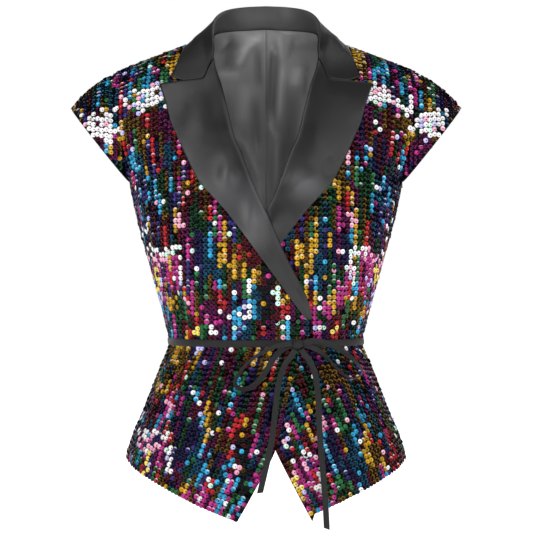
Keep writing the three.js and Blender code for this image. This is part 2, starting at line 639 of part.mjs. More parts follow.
// One cross-section of the collar, from the foot of the stand over the roll to the fall's edge
function collarSection(at, side) {
  const lift = LAY + SATIN;
  const seam = necklineAt(at);
  const turned = smooth(COLLAR_END / 2, COLLAR_END, at);
  const tip = onBody(collarColumn.turn(at), collarColumn.z(at), lift);
  const top = vector(collarColumn.foldX(at), collarColumn.foldY(at), collarColumn.foldZ(at));
  const seamNormal = heightOver(seam).normal;
  top.lerp(seam.clone().addScaledVector(seamNormal, lift + 0.3), turned ** 3);
  const rise = top.clone().sub(seam);
  const stand = rise.clone().normalize().multiplyScalar(1 - turned)
    .addScaledVector(seamNormal, turned).normalize();
  const across = tip.clone().sub(top);
  across.addScaledVector(stand, -across.dot(stand)).normalize();
  const up = rise.dot(stand);
  const out = rise.dot(across);
  const place2d = (a, b) => seam.clone().addScaledVector(stand, a).addScaledVector(across, b);
  const toTip = tip.clone().sub(top);
  const heading = atan2(toTip.dot(across), toTip.dot(stand));
  const points = [place2d(mix(1, -1.4, turned), mix(-PANEL, -2.7, turned))];
  const under = [place2d(mix(1, -1.4, turned), mix(0, -1, turned))];
  for (const share of [0, 0.34, 0.67, 1]) {
    const bend = heading * share;
    const arc = (r) => place2d(up - ROLL + r * sin(bend), out - r * cos(bend));
    points.push(arc(ROLL));
    under.push(arc(ROLL - SATIN));
  }
  const rollEnd = points[points.length - 1].clone();
  const towardsGorge = smooth(0.5, 1, at / COLLAR_END);
  const endStart = vector(GORGE[0].s, 0, GORGE[0].z);
  const endTip = vector(GORGE[GORGE.length - 1].s, 0, GORGE[GORGE.length - 1].z);
  for (const { t } of GORGE.slice(1)) {
    const point = rollEnd.clone().lerp(tip, t);
    const bow = vector(gorgeAcross(t), 0, gorgeHeight(t)).sub(endStart.clone().lerp(endTip, t));
    points.push(pushClear(point.addScaledVector(bow, towardsGorge), lift));
    under.push(null);
  }
  const flip = (point) => point && vector(side * point.x, point.y, point.z);
  return { points: points.map(flip), under: under.map(flip) };
}

function collar() {
  const stations = range(COLLAR_STATIONS).map((i) => COLLAR_END * i / (COLLAR_STATIONS - 1));
  const sections = [
    ...stations.slice(1).reverse().map((at) => collarSection(at, -1)),
    ...stations.map((at) => collarSection(at, 1)),
  ];
  const face = sections.map(({ points }) => points);
  const under = sections.map(({ points, under: fixed }, i) => points.map((point, j) => {
    if (fixed[j]) return fixed[j];
    const along = face[min(i + 1, face.length - 1)][j].clone().sub(face[max(i - 1, 0)][j]);
    const down = points[min(j + 1, points.length - 1)].clone().sub(points[j - 1]);
    const normal = along.cross(down).normalize();
    if (normal.dot(heightOver(point).normal) > 0) normal.negate();
    return pushClear(point.clone().addScaledVector(normal, SATIN), LAY * 0.9);
  }));
  return wall(face, under);
}

// Belt: a ribbon drawn round the waist over both fronts
function belt() {
  const count = 60;
  const lift = (x, face) => (face > 0 ? 0 : LAP_LIFT * smooth(-150, -66, x) * (1 - smooth(62, 118, x)));
  const layer = (offset) => [-1, 0, 1].map((level) => range(count).map((i) => {
    const turn = 2 * PI * i / count;
    const face = cos(turn) > 0 ? -1 : 1;
    const angle = asin(sin(turn));
    const form = formPoint(angle, WAIST_Z, face);
    const point = form.addScaledVector(formNormal(angle, WAIST_Z, face).setZ(0).normalize(),
      offset + lift(form.x, face));
    return point.add(vector(0, face * SEAM / 2, level * BELT_WIDTH / 2));
  }));
  return wall(layer(BELT_GAP + RIBBON), layer(BELT_GAP), true);
}

// A ribbon along a smooth curve, with its width direction given at each point
function ribbon(points, acrossAt, width, thickness, steps) {
  const curve = new THREE.CatmullRomCurve3(points, false, 'centripetal');
  const stations = range(steps + 1).map((i) => {
    const t = i / steps;
    const centre = curve.getPointAt(t);
    const along = curve.getTangentAt(t);
    const across = acrossAt(t, along);
    across.addScaledVector(along, -across.dot(along)).normalize();
    const normal = along.clone().cross(across);
    return { centre, across, normal };
  });
  const layer = (lift) => stations.map(({ centre, across, normal }) => [-1, 1].map((edge) => (
    centre.clone().addScaledVector(across, edge * width / 2).addScaledVector(normal, lift)
  )));
  return wall(layer(thickness / 2), layer(-thickness / 2));
}

function bowLoop(table) {
  const points = table.map(({ x, y, z }) => vector(x, y, z));
  const turnAt = through(table.map(({ turn }, i) => ({ t: i / (table.length - 1), turn })), 't', 'turn');
  const acrossAt = (t, along) => {
    const flat = along.clone().cross(vector(0, -1, 0)).normalize();
    const turn = turnAt(t) * DEGREE;
    return flat.multiplyScalar(cos(turn)).add(vector(0, -sin(turn), 0));
  };
  return ribbon(points, acrossAt, LOOP_WIDTH, RIBBON, 28);
}

// Points of a tail's centre line: off the knot, then down the front of the skirt
function tailRoute(table) {
  return table.map(({ x, z }, i) => {
    const form = formPoint(angleAt(x, z, -1), z, -1);
    const settle = smooth(0, 4, i);
    const y = mix(TAIL_START_Y, form.y - lapLift(0, z) - TAIL_STAND_OFF, settle);
    return vector(x, y, z);
  });
}

function tail(table) {
  const acrossAt = (t, along) => along.clone().cross(vector(0.12, -1, 0)).normalize();
  return ribbon(tailRoute(table), acrossAt, TAIL_WIDTH, RIBBON, 26);
}

// Knot: a rounded lump of ribbon in front of the belt
function knot() {
  const geometry = new THREE.SphereGeometry(0.5, 14, 10);
  geometry.scale(KNOT.width, KNOT.depth, KNOT.height);
  const form = formPoint(angleAt(KNOT.x, KNOT.z, -1), KNOT.z, -1);
  const beltFace = LAP_LIFT + BELT_GAP + RIBBON + SEAM;
  geometry.translate(KNOT.x, form.y - beltFace - KNOT.depth / 2 - 0.5, KNOT.z);
  return geometry;
}

function range(count) {
  return [...Array(count).keys()];
}

const sequinCloth = new THREE.MeshStandardMaterial({ color: 0x5a2f4c, roughness: 0.35, metalness: 0.6 });
const satin = new THREE.MeshStandardMaterial({ color: 0x353535, roughness: 0.45 });
const liningSatin = new THREE.MeshStandardMaterial({ color: 0x636363, roughness: 0.4 });
const ribbonCloth = new THREE.MeshStandardMaterial({ color: 0x404040, roughness: 0.6 });

const waistcoat = new THREE.Group();
function add(name, geometry, material) {
  const mesh = new THREE.Mesh(geometry, material);
  mesh.name = name;
  waistcoat.add(mesh);
}

add('front_right', frontPanel(-1), sequinCloth);
add('front_left', frontPanel(1), sequinCloth);
add('back', backPanel(), sequinCloth);
add('sleeve_right', sleeve(-1), sequinCloth);
add('sleeve_left', sleeve(1), sequinCloth);
add('collar', collar(), satin);
add('lapel_right', lapel(-1), satin);
add('lapel_left', lapel(1), satin);
add('lining_back_right', liningHalf(-1), liningSatin);
add('lining_back_left', liningHalf(1), liningSatin);
add('belt', belt(), ribbonCloth);
add('belt_knot', knot(), ribbonCloth);
add('bow_loop_right', bowLoop(LEFT_LOOP), ribbonCloth);
add('bow_loop_left', bowLoop(RIGHT_LOOP), ribbonCloth);
add('tie_tail_right', tail(LEFT_TAIL), ribbonCloth);
add('tie_tail_left', tail(RIGHT_TAIL), ribbonCloth);

export default waistcoat;
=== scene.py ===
# Sequinned wrap waistcoat: its finished cloth, satin, sequins, belt and bow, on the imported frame.
# Sizes in the tables are millimetres, +Z up, the front towards -Y and the wearer's left towards +X.

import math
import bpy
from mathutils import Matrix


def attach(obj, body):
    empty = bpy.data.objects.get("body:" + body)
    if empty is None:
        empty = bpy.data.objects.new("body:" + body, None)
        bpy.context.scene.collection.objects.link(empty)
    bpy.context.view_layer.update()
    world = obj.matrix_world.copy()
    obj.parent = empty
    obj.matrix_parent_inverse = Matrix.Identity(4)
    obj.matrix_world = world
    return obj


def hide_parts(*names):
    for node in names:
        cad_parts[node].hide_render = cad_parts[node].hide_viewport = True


bl_info = {
    "name": "Sequinned Wrap Waistcoat",
    "version": (1, 0, 0),
    "blender": (4, 5, 0),
    "location": "View3D > Sidebar > Waistcoat",
    "description": "Builds the sequinned cloth, satin, lining, belt and bow of a wrap waistcoat",
    "category": "Object",
}

import bmesh
import bpy
import numpy as np
from bpy.props import FloatProperty, FloatVectorProperty, IntProperty, PointerProperty
from mathutils import Vector

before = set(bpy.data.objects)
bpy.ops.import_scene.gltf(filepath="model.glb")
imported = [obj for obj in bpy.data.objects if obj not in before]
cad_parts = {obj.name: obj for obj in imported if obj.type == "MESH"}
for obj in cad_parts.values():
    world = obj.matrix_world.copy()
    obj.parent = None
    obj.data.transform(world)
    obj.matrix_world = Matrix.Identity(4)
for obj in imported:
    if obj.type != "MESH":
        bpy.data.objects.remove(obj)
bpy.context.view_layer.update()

MM = 0.001
RIGHT_ANGLE = math.pi / 2
# The wearer's two sides, as x runs and as the pieces are named
HANDS = ((-1, "right"), (1, "left"))


def table(names, *rows):
    """A list of rows with named columns"""
    return [dict(zip(names.split(), row)) for row in rows]


# Cloth thicknesses and the clearances between pieces
PANEL = 1.8
LINING = 1.0
SATIN = 1.7
RIBBON = 1.2
SEAM = 0.3
LAY = 1.1

# Levels of the pattern
NECK_POINT_Z = 2.0
NECK_RISE = 16.0
SHOULDER_TIP_Z = -54.0
UNDERARM_Z = -203.0
ARMHOLE_SET = 60.0
WAIST_Z = -428.0
SIDE_HEM_Z = -591.0
BACK_HEM_Z = -579.0
LINING_SHORTER = 12.0
LINING_GAP = 1.6
LINING_HANG = 3.2
LAP_LIFT = 5.9
ROLL = 2.3
BELT_WIDTH = 9.0
BELT_GAP = 1.2
TAIL_WIDTH = 7.5
LOOP_WIDTH = 7.5
KNOT_CENTRE = (43.0, -110.6, -428.0)
KNOT_HALF = (7.5, 5.0, 6.5)

# Half width of the body at its side, shoulder ridge or armhole, by height
SIDES = table(
    "z x",
    (18, 75), (2, 75), (-15, 118), (-30, 157), (-45, 195), (-54, 213), (-82, 210.5),
    (-109, 206), (-145, 198), (-203, 190.5), (-258, 179), (-314, 163.5), (-371, 148),
    (-408, 138), (-421, 135), (-435, 135), (-447, 139.5), (-470, 149.5), (-526, 171.5),
    (-560, 186), (-591, 195), (-680, 206),
)

# Depth of the front and back from the side plane, and how square the section is, by height
DEPTHS = table(
    "z front back power",
    (18, 0.6, 72, 2), (2, 0.6, 74, 2), (-15, 34, 77, 2), (-34, 54, 82, 2.05),
    (-60, 68, 88, 2.1), (-100, 82, 95, 2.2), (-150, 97, 103, 2.25), (-206, 112, 108, 2.35),
    (-281, 127, 105, 2.4), (-350, 117, 98, 2.35), (-421, 100, 92, 2.25),
    (-435, 100, 92, 2.25), (-500, 114, 113, 2.25), (-591, 130, 135, 2.25),
    (-680, 141, 146, 2.25),
)

# Rows of the panels below the underarm: heights at the side seam and at the front edge
LOWER_ROWS = table(
    "side edge",
    (-203, -190), (-222, -210), (-242, -232), (-264, -255), (-288, -280), (-312, -306),
    (-336, -331), (-358, -355), (-378, -376), (-395, -393), (-409, -408), (-421, -421),
    (-435, -435), (-449, -451), (-466, -472), (-486, -498), (-508, -528), (-532, -562),
    (-560, -608), (-591, -664),
)
ARMHOLE_ROWS = 12
ROWS = ARMHOLE_ROWS + len(LOWER_ROWS) - 1

# Front edge and roll line of each front: distance from the centre towards its own side
NECK_AND_ROLL = table(
    "z s",
    (2, 75), (-12, 74), (-34, 74), (-80, 62), (-116, 53), (-145, 46), (-166, 37),
    (-196, 26), (-222, 16), (-248, 4), (-294, -17), (-392, -59), (-404, -60),
)
RIGHT_EDGE = NECK_AND_ROLL + table(
    "z s",
    (-420, -54), (-439, -44), (-490, -32), (-530, -23), (-568, -13), (-619, 13), (-664, 38),
)
LEFT_EDGE = NECK_AND_ROLL + table(
    "z s", (-420, -53), (-440, -41), (-505, -14), (-570, 13), (-619, 38), (-664, 62)
)
FRONT_HEM = table(
    "s z", (0, -676), (38, -664), (70, -652), (113, -634), (151, -616), (182, -600), (195, -591)
)

# Lapel: its outer edge from the peak to the waist, and its top edge from the roll to the peak
LAPEL_OUTER = table(
    "z s",
    (-73, 146), (-99, 137), (-126, 129.5), (-152, 118), (-180, 105), (-211, 88),
    (-233, 68), (-251, 52), (-315, 3), (-395, -54.5),
)
LAPEL_TOP = table(
    "u s z",
    (0, 73.6, -39.6), (0.12, 79, -51.2), (0.25, 86.2, -65.8), (0.42, 98.5, -67.7),
    (0.6, 113, -68.9), (0.8, 129, -70.8), (1, 146, -73),
)
LAPEL_END_Z = -393.0

# Soft gathers pressed in at the belt: angle round the body, height of the fold (a trough is
# negative), its width, and how far it runs above and below the waist
GATHERS = table(
    "face angle height width above below",
    (-1, -64, 2.4, 7, 60, 110), (-1, -50, -2.6, 7, 90, 150), (-1, -38, 3.0, 7, 110, 130),
    (-1, -25, -2.8, 6.5, 80, 190), (-1, -14, 2.6, 6.5, 70, 170), (-1, -3, -3.2, 6.5, 110, 90),
    (-1, 10, 2.4, 6.5, 90, 120), (-1, 22, -2.6, 6.5, 70, 140), (-1, 35, 3.0, 7, 120, 160),
    (-1, 49, -2.6, 7, 80, 120), (-1, 63, 2.4, 7, 100, 90), (1, -58, 2.6, 7, 80, 120),
    (1, -40, -3.0, 7, 120, 150), (1, -23, 3.2, 7, 90, 170), (1, -7, -2.8, 6.5, 130, 120),
    (1, 11, 3.0, 7, 80, 150), (1, 28, -3.0, 7, 110, 170), (1, 45, 2.8, 7, 70, 110),
    (1, 61, -2.4, 7, 90, 140),
)
GATHER_PRESSED = 8
GATHER_FADE = 30

# Cap sleeve hem: a ring in a slanted plane through the sleeve's tip and the underarm
CUFF_CENTRE = (233, 0, -153.5)
CUFF_ALONG = (0.6223, 0, 0.7828)
CUFF_REACH = 65
CUFF_HALF_DEPTH = 63
SLEEVE_CROWN = 5

# Collar, from the centre back (0) over the neck point (5) to the gorge (10)
COLLAR = table(
    "at foldX foldY foldZ turn z",
    (0, 0, 76, 54, 0, -3), (1, 26, 73, 52.5, 20, -3.2), (2, 47, 61, 48.5, 40, -4.5),
    (3, 61, 44, 42, 57, -7), (4, 70, 24, 32, 74, -10), (5, 75, 4, 20, 103, -14),
    (6, 76, -14, 7, 124, -23), (7, 75.5, -28, -6, 136.5, -36), (8, 74.8, -38, -18, 143, -48),
    (9, 74.2, -47, -29, 145.5, -56.5), (10, 73.6, -54, -38, 146.8, -63),
)
NECK_SEAM = table("at z", (5, 2), (6, -9), (7, -17), (8, -25), (9, -32), (10, -38.4))
COLLAR_END = 10
GORGE = table(
    "t s z",
    (0, 74, -38.6), (0.15, 79.5, -50.2), (0.3, 86.7, -65), (0.45, 98.5, -67),
    (0.65, 113, -68.1), (0.82, 121.5, -65.5), (1, 130.5, -62.5),
)

# Bow, as points in front of the body, then how far the ribbon turns on edge (degrees)
RIGHT_LOOP = table(
    "x y z turn",
    (35.2, -114, -427, 8), (14, -119.5, -430.5, 35), (-7, -124, -440, 52),
    (-26, -126, -454, 58), (-38, -126, -470, 60), (-42, -125, -480, 60),
    (-37, -123, -487, 50), (-25.5, -121, -488, 35), (-12, -119, -480, 20),
    (1, -117.5, -463, 12), (11, -115.5, -447, 12), (22, -112.5, -435.5, 12),
    (35.2, -110, -429.5, 8),
)
LEFT_LOOP = table(
    "x y z turn",
    (50.8, -113.5, -426.5, 8), (63, -115.5, -424, 6), (79, -115, -426, 5),
    (96, -114, -433, 12), (112, -110, -444, 25), (125, -104, -457, 45),
    (130, -100, -465, 62), (128, -97, -471, 70), (120, -96, -475, 72),
    (110, -98, -473, 72), (97, -102, -462, 72), (86, -105, -450, 68),
    (73, -108.5, -438, 45), (62, -109.5, -432.5, 20), (50.8, -109.8, -429, 8),
)
RIGHT_TAIL = table(
    "x z",
    (38.6, -435.4), (36.5, -441), (32, -447), (26, -455), (20, -470), (15.5, -490),
    (12.5, -516), (9.5, -544), (3.5, -576), (-3, -604), (-8, -625),
)
LEFT_TAIL = table(
    "x z",
    (47.6, -435.4), (51, -441), (58.5, -450), (66, -468), (70, -497), (72, -545),
    (75.5, -590), (79, -635), (81, -673),
)
TAIL_START_Y = -111.5
TAIL_STAND_OFF = 4.5
LOOP_POINTS = 90
TAIL_POINTS = 80
BELT_TURNS = 300
RIBBON_COLUMNS = 8
# Grids of the satin pieces
LINING_COLUMNS = 60
LAPEL_ROWS = 120
LAPEL_COLUMNS = 40
COLLAR_STATIONS = 81
COLLAR_ROLL_STEPS = 12
COLLAR_FALL_STEPS = 20
COLLAR_FALL_PASSES = 40
# How far a sheet's rounded rim stands out, as a share of its thickness
RIM_BULGE = 0.3

# The sequins' finishes: colour, and how the foil shines. Each hue has a lit copy and a darker copy of
# the same foil: painted light for cups turned to the lamps, painted shade for cups turned away. A
# shaded cup is painted dark inside a lighter rim.
SEQUIN_FINISHES = table(
    "name colour shine",
    # Black cups are painted shade, for cups turned edge-on where the cloth folds
    ("black", (0.004, 0.004, 0.005), "deep"),
    ("navy", (0.008, 0.006, 0.042), "deep"),
    ("violet", (0.028, 0.018, 0.160), "bright"),
    ("teal", (0.005, 0.040, 0.080), "deep"),
    ("cyan", (0.024, 0.360, 0.640), "bright"),
    ("bottle", (0.004, 0.032, 0.011), "deep"),
    ("green", (0.014, 0.150, 0.042), "bright"),
    ("bronze", (0.090, 0.044, 0.005), "deep"),
    ("gold", (0.600, 0.330, 0.010), "bright"),
    ("wine", (0.060, 0.003, 0.007), "deep"),
    ("red", (0.480, 0.010, 0.016), "bright"),
    ("plum", (0.070, 0.004, 0.042), "deep"),
    ("magenta", (0.480, 0.022, 0.230), "bright"),
    # The pale finishes are painted glints: cups that catch the lamps, painted pale
    ("pink", (0.900, 0.400, 0.560), "pale"),
    ("white", (0.930, 0.900, 0.920), "pale"),
    ("lavender", (0.560, 0.540, 0.920), "pale"),
    ("mint", (0.620, 0.900, 0.760), "pale"),
    ("yellow", (0.900, 0.720, 0.120), "pale"),
)
# How each kind of foil is made: metallic share, roughness, clear coat, and how light its colour is
# painted in the middle of the cup and at its rim: painted shade on the floor, a painted lit rim
SHINES = {
    "deep": (0.9, 0.26, 0.12, 0.14, 1.5),
    "bright": (0.42, 0.3, 0.1, 1.0, 0.62),
    "pale": (0.1, 0.34, 0.3, 1.05, 0.8),
}
FINISH_INDEX = {finish["name"]: i for i, finish in enumerate(SEQUIN_FINISHES)}

# Each hue of the strung sequins: its share of the cloth, and its shaded and lit cups: the same foil
# with painted shade and with painted light
HUES = table(
    "name share deep bright",
    ("violet", 1.2, "navy", "violet"),
    ("blue", 0.9, "teal", "cyan"),
    ("green", 1.1, "bottle", "green"),
    ("gold", 0.8, "bronze", "gold"),
    ("red", 0.9, "wine", "red"),
    ("magenta", 1.1, "plum", "magenta"),
)

# Patches of the cloth: centre (outwards from the middle line, and height), half sizes, the dyed hue
# that gathers there (or one pale cup, a painted glint, or one black cup, painted shade), how strongly,
# and how bright its cups are: the share that takes the lit copy of its hue, which is painted light
SHOULDER_PATCHES = table(
    "s z half_s half_z hue strength bright",
    (126, -34, 12, 30, "gold", 8, 0.85), (149, -38, 16, 12, "green", 7, 0.45),
    (166, -50, 13, 13, "blue", 8, 0.85), (196, -52, 16, 11, "violet", 8, 0.1),
    (203, -62, 5, 10, "magenta", 8, 0.85), (201, -72, 4, 9, "red", 7, 0.6),
    (190, -64, 4, 13, "blue", 9, 0.85), (178, -62, 5, 12, "green", 6, 0.3),
    (157, -88, 21, 15, "white", 0.93, 0.8), (186, -104, 18, 12, "white", 0.75, 0.8),
    (228, -130, 27, 19, "white", 0.94, 0.8), (226, -76, 13, 15, "green", 7, 0.3),
    (232, -86, 5, 16, "blue", 8, 0.75), (216, -98, 5, 18, "blue", 8, 0.75),
    (224, -102, 5, 15, "gold", 8, 0.7), (243, -100, 9, 14, "violet", 8, 0.1),
    (212, -106, 4, 14, "violet", 8, 0.1), (188, -126, 16, 10, "gold", 8, 0.15),
    (158, -130, 16, 20, "red", 8, 0.14), (136, -128, 11, 26, "magenta", 8, 0.15),
    (217, -166, 18, 24, "magenta", 8, 0.12), (198, -136, 5, 16, "gold", 8, 0.7),
    (192, -162, 4, 11, "red", 9, 0.9), (184, -178, 5, 15, "blue", 9, 0.85),
    (172, -150, 5, 20, "green", 7, 0.3), (166, -140, 5, 16, "gold", 8, 0.6),
    (152, -160, 8, 22, "violet", 7, 0.15), (143, -150, 4, 24, "gold", 6, 0.3),
    (131, -172, 8, 18, "blue", 8, 0.6), (120, -150, 8, 16, "red", 7, 0.2),
    (196, -186, 10, 14, "violet", 6, 0.1), (112, -180, 6, 12, "pink", 0.25, 0.8),
)
REPEAT_PATCHES = table(
    "s z half_s half_z hue strength bright",
    (180, -216, 13, 26, "violet", 8, 0.08), (160, -222, 15, 20, "blue", 8, 0.65),
    (138, -210, 14, 18, "green", 8, 0.12), (104, -196, 15, 14, "gold", 8, 0.4),
    (133, -242, 4, 16, "gold", 8, 0.45), (120, -232, 5, 14, "gold", 8, 0.75),
    (108, -236, 5, 12, "red", 8, 0.7), (116, -260, 6, 10, "pink", 0.6, 0.5),
    (163, -272, 7, 13, "white", 0.5, 0.7), (150, -262, 8, 22, "violet", 5, 0.2),
    (100, -268, 8, 26, "magenta", 7, 0.3), (114, -278, 4, 13, "blue", 8, 0.75),
    (134, -276, 7, 20, "red", 6, 0.12), (90, -250, 8, 30, "green", 6, 0.15),
    (70, -270, 5, 18, "blue", 8, 0.6), (64, -274, 4, 20, "gold", 9, 0.9),
    (55, -290, 5, 26, "gold", 8, 0.75), (43, -306, 11, 17, "gold", 8, 0.25),
    (20, -298, 16, 26, "red", 8, 0.25), (32, -325, 4, 18, "gold", 9, 0.85),
    (17, -342, 4, 18, "gold", 8, 0.7), (138, -302, 24, 7, "white", 0.62, 0.7),
    (146, -316, 16, 9, "pink", 0.5, 0.7), (136, -324, 20, 22, "magenta", 10, 0.95),
    (130, -332, 4, 16, "red", 10, 0.95), (149, -338, 5, 19, "yellow", 0.72, 0.8),
    (141, -344, 4, 6, "lavender", 0.7, 0.8), (116, -331, 4, 28, "white", 0.86, 0.8),
    (94, -300, 18, 28, "violet", 9, 0.06), (78, -306, 11, 26, "blue", 8, 0.3),
    (88, -334, 9, 22, "green", 7, 0.45), (82, -356, 4, 17, "gold", 9, 0.85),
    (92, -372, 4, 15, "gold", 9, 0.85), (100, -366, 5, 24, "magenta", 8, 0.6),
    (106, -346, 5, 20, "red", 8, 0.4), (76, -384, 12, 16, "magenta", 8, 0.6),
    (62, -394, 11, 12, "magenta", 9, 0.75), (65, -346, 4, 9, "blue", 10, 1.0),
    (60, -366, 5, 14, "red", 8, 0.8), (43, -367, 4, 16, "blue", 10, 1.0),
    (34, -360, 4, 20, "magenta", 8, 0.7), (24, -346, 4, 14, "white", 0.7, 0.8),
    (28, -386, 9, 9, "white", 0.5, 0.8), (14, -376, 10, 20, "blue", 8, 0.7),
    (147, -370, 5, 12, "lavender", 0.6, 0.8), (138, -388, 9, 14, "blue", 8, 0.7),
    (126, -374, 7, 16, "gold", 8, 0.5), (112, -384, 8, 14, "green", 8, 0.35),
    (98, -400, 12, 12, "red", 7, 0.3), (72, -411, 8, 7, "white", 0.5, 0.8),
    (94, -411, 5, 9, "yellow", 0.5, 0.8),
)
# Patches of one front alone: black cups painted as shade in a band near its edge, where the cloth folds
# in and the cups turn edge-on, and the lit cluster beyond it, with pale cups as painted glints
LAP_PATCHES = table(
    "s z half_s half_z hue strength bright",
    (0, -352, 9, 56, "black", 0.85, 0), (29, -612, 9, 60, "black", 0.8, 0),
    (-14, -366, 4, 26, "mint", 0.8, 0.8), (-26, -366, 4, 16, "gold", 10, 1.0),
    (-20, -384, 14, 14, "red", 9, 0.7), (-24, -398, 12, 8, "white", 0.5, 0.8),
    (-40, -392, 8, 8, "white", 0.35, 0.8),
)
# Shares of strings in the lit copy of their hue (painted light) away from any patch, and of single pale
# cups anywhere, which are painted glints
LIT_COPY_SHARE = 0.2
SINGLE_GLINT_SHARE = 0.024
# Every random draw comes from here, in one fixed order
RANDOM = np.random.default_rng(7)
# Where strings may start and stop: the span and step of the levels that are looked at, the bare band
# under the belt, and the room left at the armhole and at the side seam
FRONT_SPAN = (2.0, -676.0)
BACK_SPAN = (17.0, -592.0)
LEVEL_STEP = -0.75
BELT_BARE = 5.6
ARMHOLE_ROOM = 1.2
SIDE_ROOM = 2.2
# Strings of a cap sleeve: where they run across, how close, and the room left at its seam and hem
SLEEVE_SPAN = (191.0, 274.0)
SLEEVE_CLOSER = 0.9
SLEEVE_SEAM_ROOM = 1.6
SLEEVE_HEM_ROOM = 3.0
SLEEVE_BREAK = 12
# How far the satin hides the strings: the collar's fall, the lapel's top and edge, and the peak
FALL_COVERS = 4
LAPEL_COVERS_Z = -71
LAPEL_COVERS_EDGE = 2.5
PEAK_COVERS = 119
# Cups in one run of a hue, how strongly a patch draws its hue and its painted light, the share of cups
# whose painted light goes against their run, lit in a shaded run and shaded in a lit one, and the
# share of white cups, painted glints, that take another pale colour
HUE_RUN = (3, 9)
HUE_PULL = 3
LIT_COPY_PULL = 7
ODD_SHARE = 0.07
TINTED_GLINT_SHARE = 0.2
# Each ring of a cup after its hole: its radius and height as shares of the cup's, and how much of the
# rim's painted light it takes, against the painted shade of the floor
CUP_RINGS = table("radius height rim", (0.55, 0.1, 0.3), (0.84, 0.55, 1.0), (1, 1, 0.5))
HOLE_PLACE = (-0.85, 0.15)
HOLE_HEIGHT = 0.04
# How a cup lies: off the net, its lower edge out over the next cup (in radians), and how many times
# as far a loose one tilts
CUP_LIFT = 0.45
CUP_LEAN = math.radians(5)
LOOSE_TILT = 2.6
# How far the cloth's pattern of dyed hues, painted glints and painted shade moves from one repeat to
# the next
REPEAT_DOWN = 251.0
REPEAT_OUT = 14.5
# On the lower left front the pattern runs the other way and starts lower
TURNED_ABOUT = 190.5
TURNED_DOWN = 276.0


def cloth_patches(side, face):
    """The patches of one side of the front or back, from the shoulder to the hem"""
    laid = SHOULDER_PATCHES + REPEAT_PATCHES
    for patch in REPEAT_PATCHES:
        if side > 0 and face < 0:
            moved = {"s": TURNED_ABOUT - patch["s"], "z": patch["z"] - TURNED_DOWN}
        else:
            moved = {"s": patch["s"] + REPEAT_OUT, "z": patch["z"] - REPEAT_DOWN}
        laid = laid + [{**patch, **moved}]
    return laid + (LAP_PATCHES if side < 0 and face < 0 else [])


# Soft creases of the back lining: from one point to another (across, height), half width, and how
# far each stands out (a trough is negative)
LINING_CREASES = table(
    "x0 z0 x1 z1 width height",
    (-4, 13, -28, -5, 6, 3.28), (-28, -5, -42, -32, 6, 3.78), (-49, 8, -55, -42, 8, -2.52),
    (-70, -48, -40, -46, 4, 2.02), (-52, 6, -65, -11, 3, 1.76), (-13, -6, -11, -63, 5, -2.27),
    (-16, -80, -15, -150, 6, -2.02), (-37, -134, -23, -160, 4, 2.52), (-23, -160, -10, -192, 4.5, 2.52),
    (-30, -128, -42, -170, 5, -1.51), (-30, -60, -34, -118, 10, 2.27), (12, -6, 7, -106, 7, -3.02),
    (5, -3, 17, -18, 2.5, 1.76), (25, -32, 19, -108, 5, 3.28), (3, -114, 16, -137, 4.5, 2.77),
    (16, -137, 14, -216, 5, 2.77), (43, -66, 31, -176, 12, -2.77), (49, -36, 43, -62, 9, 2.77),
    (60, -28, 56, -78, 4, -2.02), (40, 6, 33, -22, 4, -1.76), (17, 11, 24, -26, 3.5, 1.76),
    (60, -90, 48, -150, 5, 2.27), (-58, -70, -50, -130, 6, -1.76), (-8, -190, -14, -300, 7, 2.52),
    (30, -200, 44, -330, 9, -2.27), (-48, -200, -62, -340, 10, 2.52), (70, -180, 92, -320, 11, 2.52),
    (-88, -150, -108, -290, 12, -2.27), (110, -140, 128, -260, 12, -2.27), (-20, -330, -34, -560, 12, 3.02),
    (52, -350, 70, -560, 13, 3.02), (-84, -360, -112, -560, 14, -2.52), (8, -430, 14, -560, 11, -2.52),
)
# Where the lapels rise or dip a little: side, place, half sizes and height
LAPEL_DRAPE = table(
    "side s z half_s half_z height",
    (-1, 50, -200, 13, 22, 4.75), (-1, 92, -150, 16, 28, 0.88), (-1, 74, -112, 12, 20, -0.56),
    (-1, 20, -262, 10, 26, 3.0), (-1, -10, -312, 9, 22, 2.0), (-1, 112, -108, 12, 20, 0.64),
    (1, 52, -210, 19, 15, 5.5), (1, 28, -242, 12, 14, -1.75), (1, 95, -150, 17, 26, 0.88),
    (1, 66, -128, 12, 20, 0.64), (1, 84, -186, 8, 15, -2.0), (1, 116, -104, 10, 18, 0.56),
    (1, 84, -78, 5, 16, 0.64), (1, 6, -276, 9, 18, 2.25),
)


# The form


def smooth(start, end, value):
    """Rises from 0 at start to 1 at end, with soft ends"""
    t = np.clip((np.asarray(value, float) - start) / (end - start), 0, 1)
    return t * t * (3 - 2 * t)


def mix(a, b, t):
    """The value a share t of the way from a to b"""
    return a + (b - a) * t


def signed_power(value, power):
    """A power that keeps the value's sign"""
    return np.sign(value) * np.abs(value) ** power


def between(start, leave, end, arrive, t):
    """A smooth step between two values that leaves and arrives at the given slopes"""
    rest = 1 - t
    return start * (1 + 2 * t) * rest**2 + leave * t * rest**2 + (
        end * t * t * (3 - 2 * t) - arrive * t * t * rest)


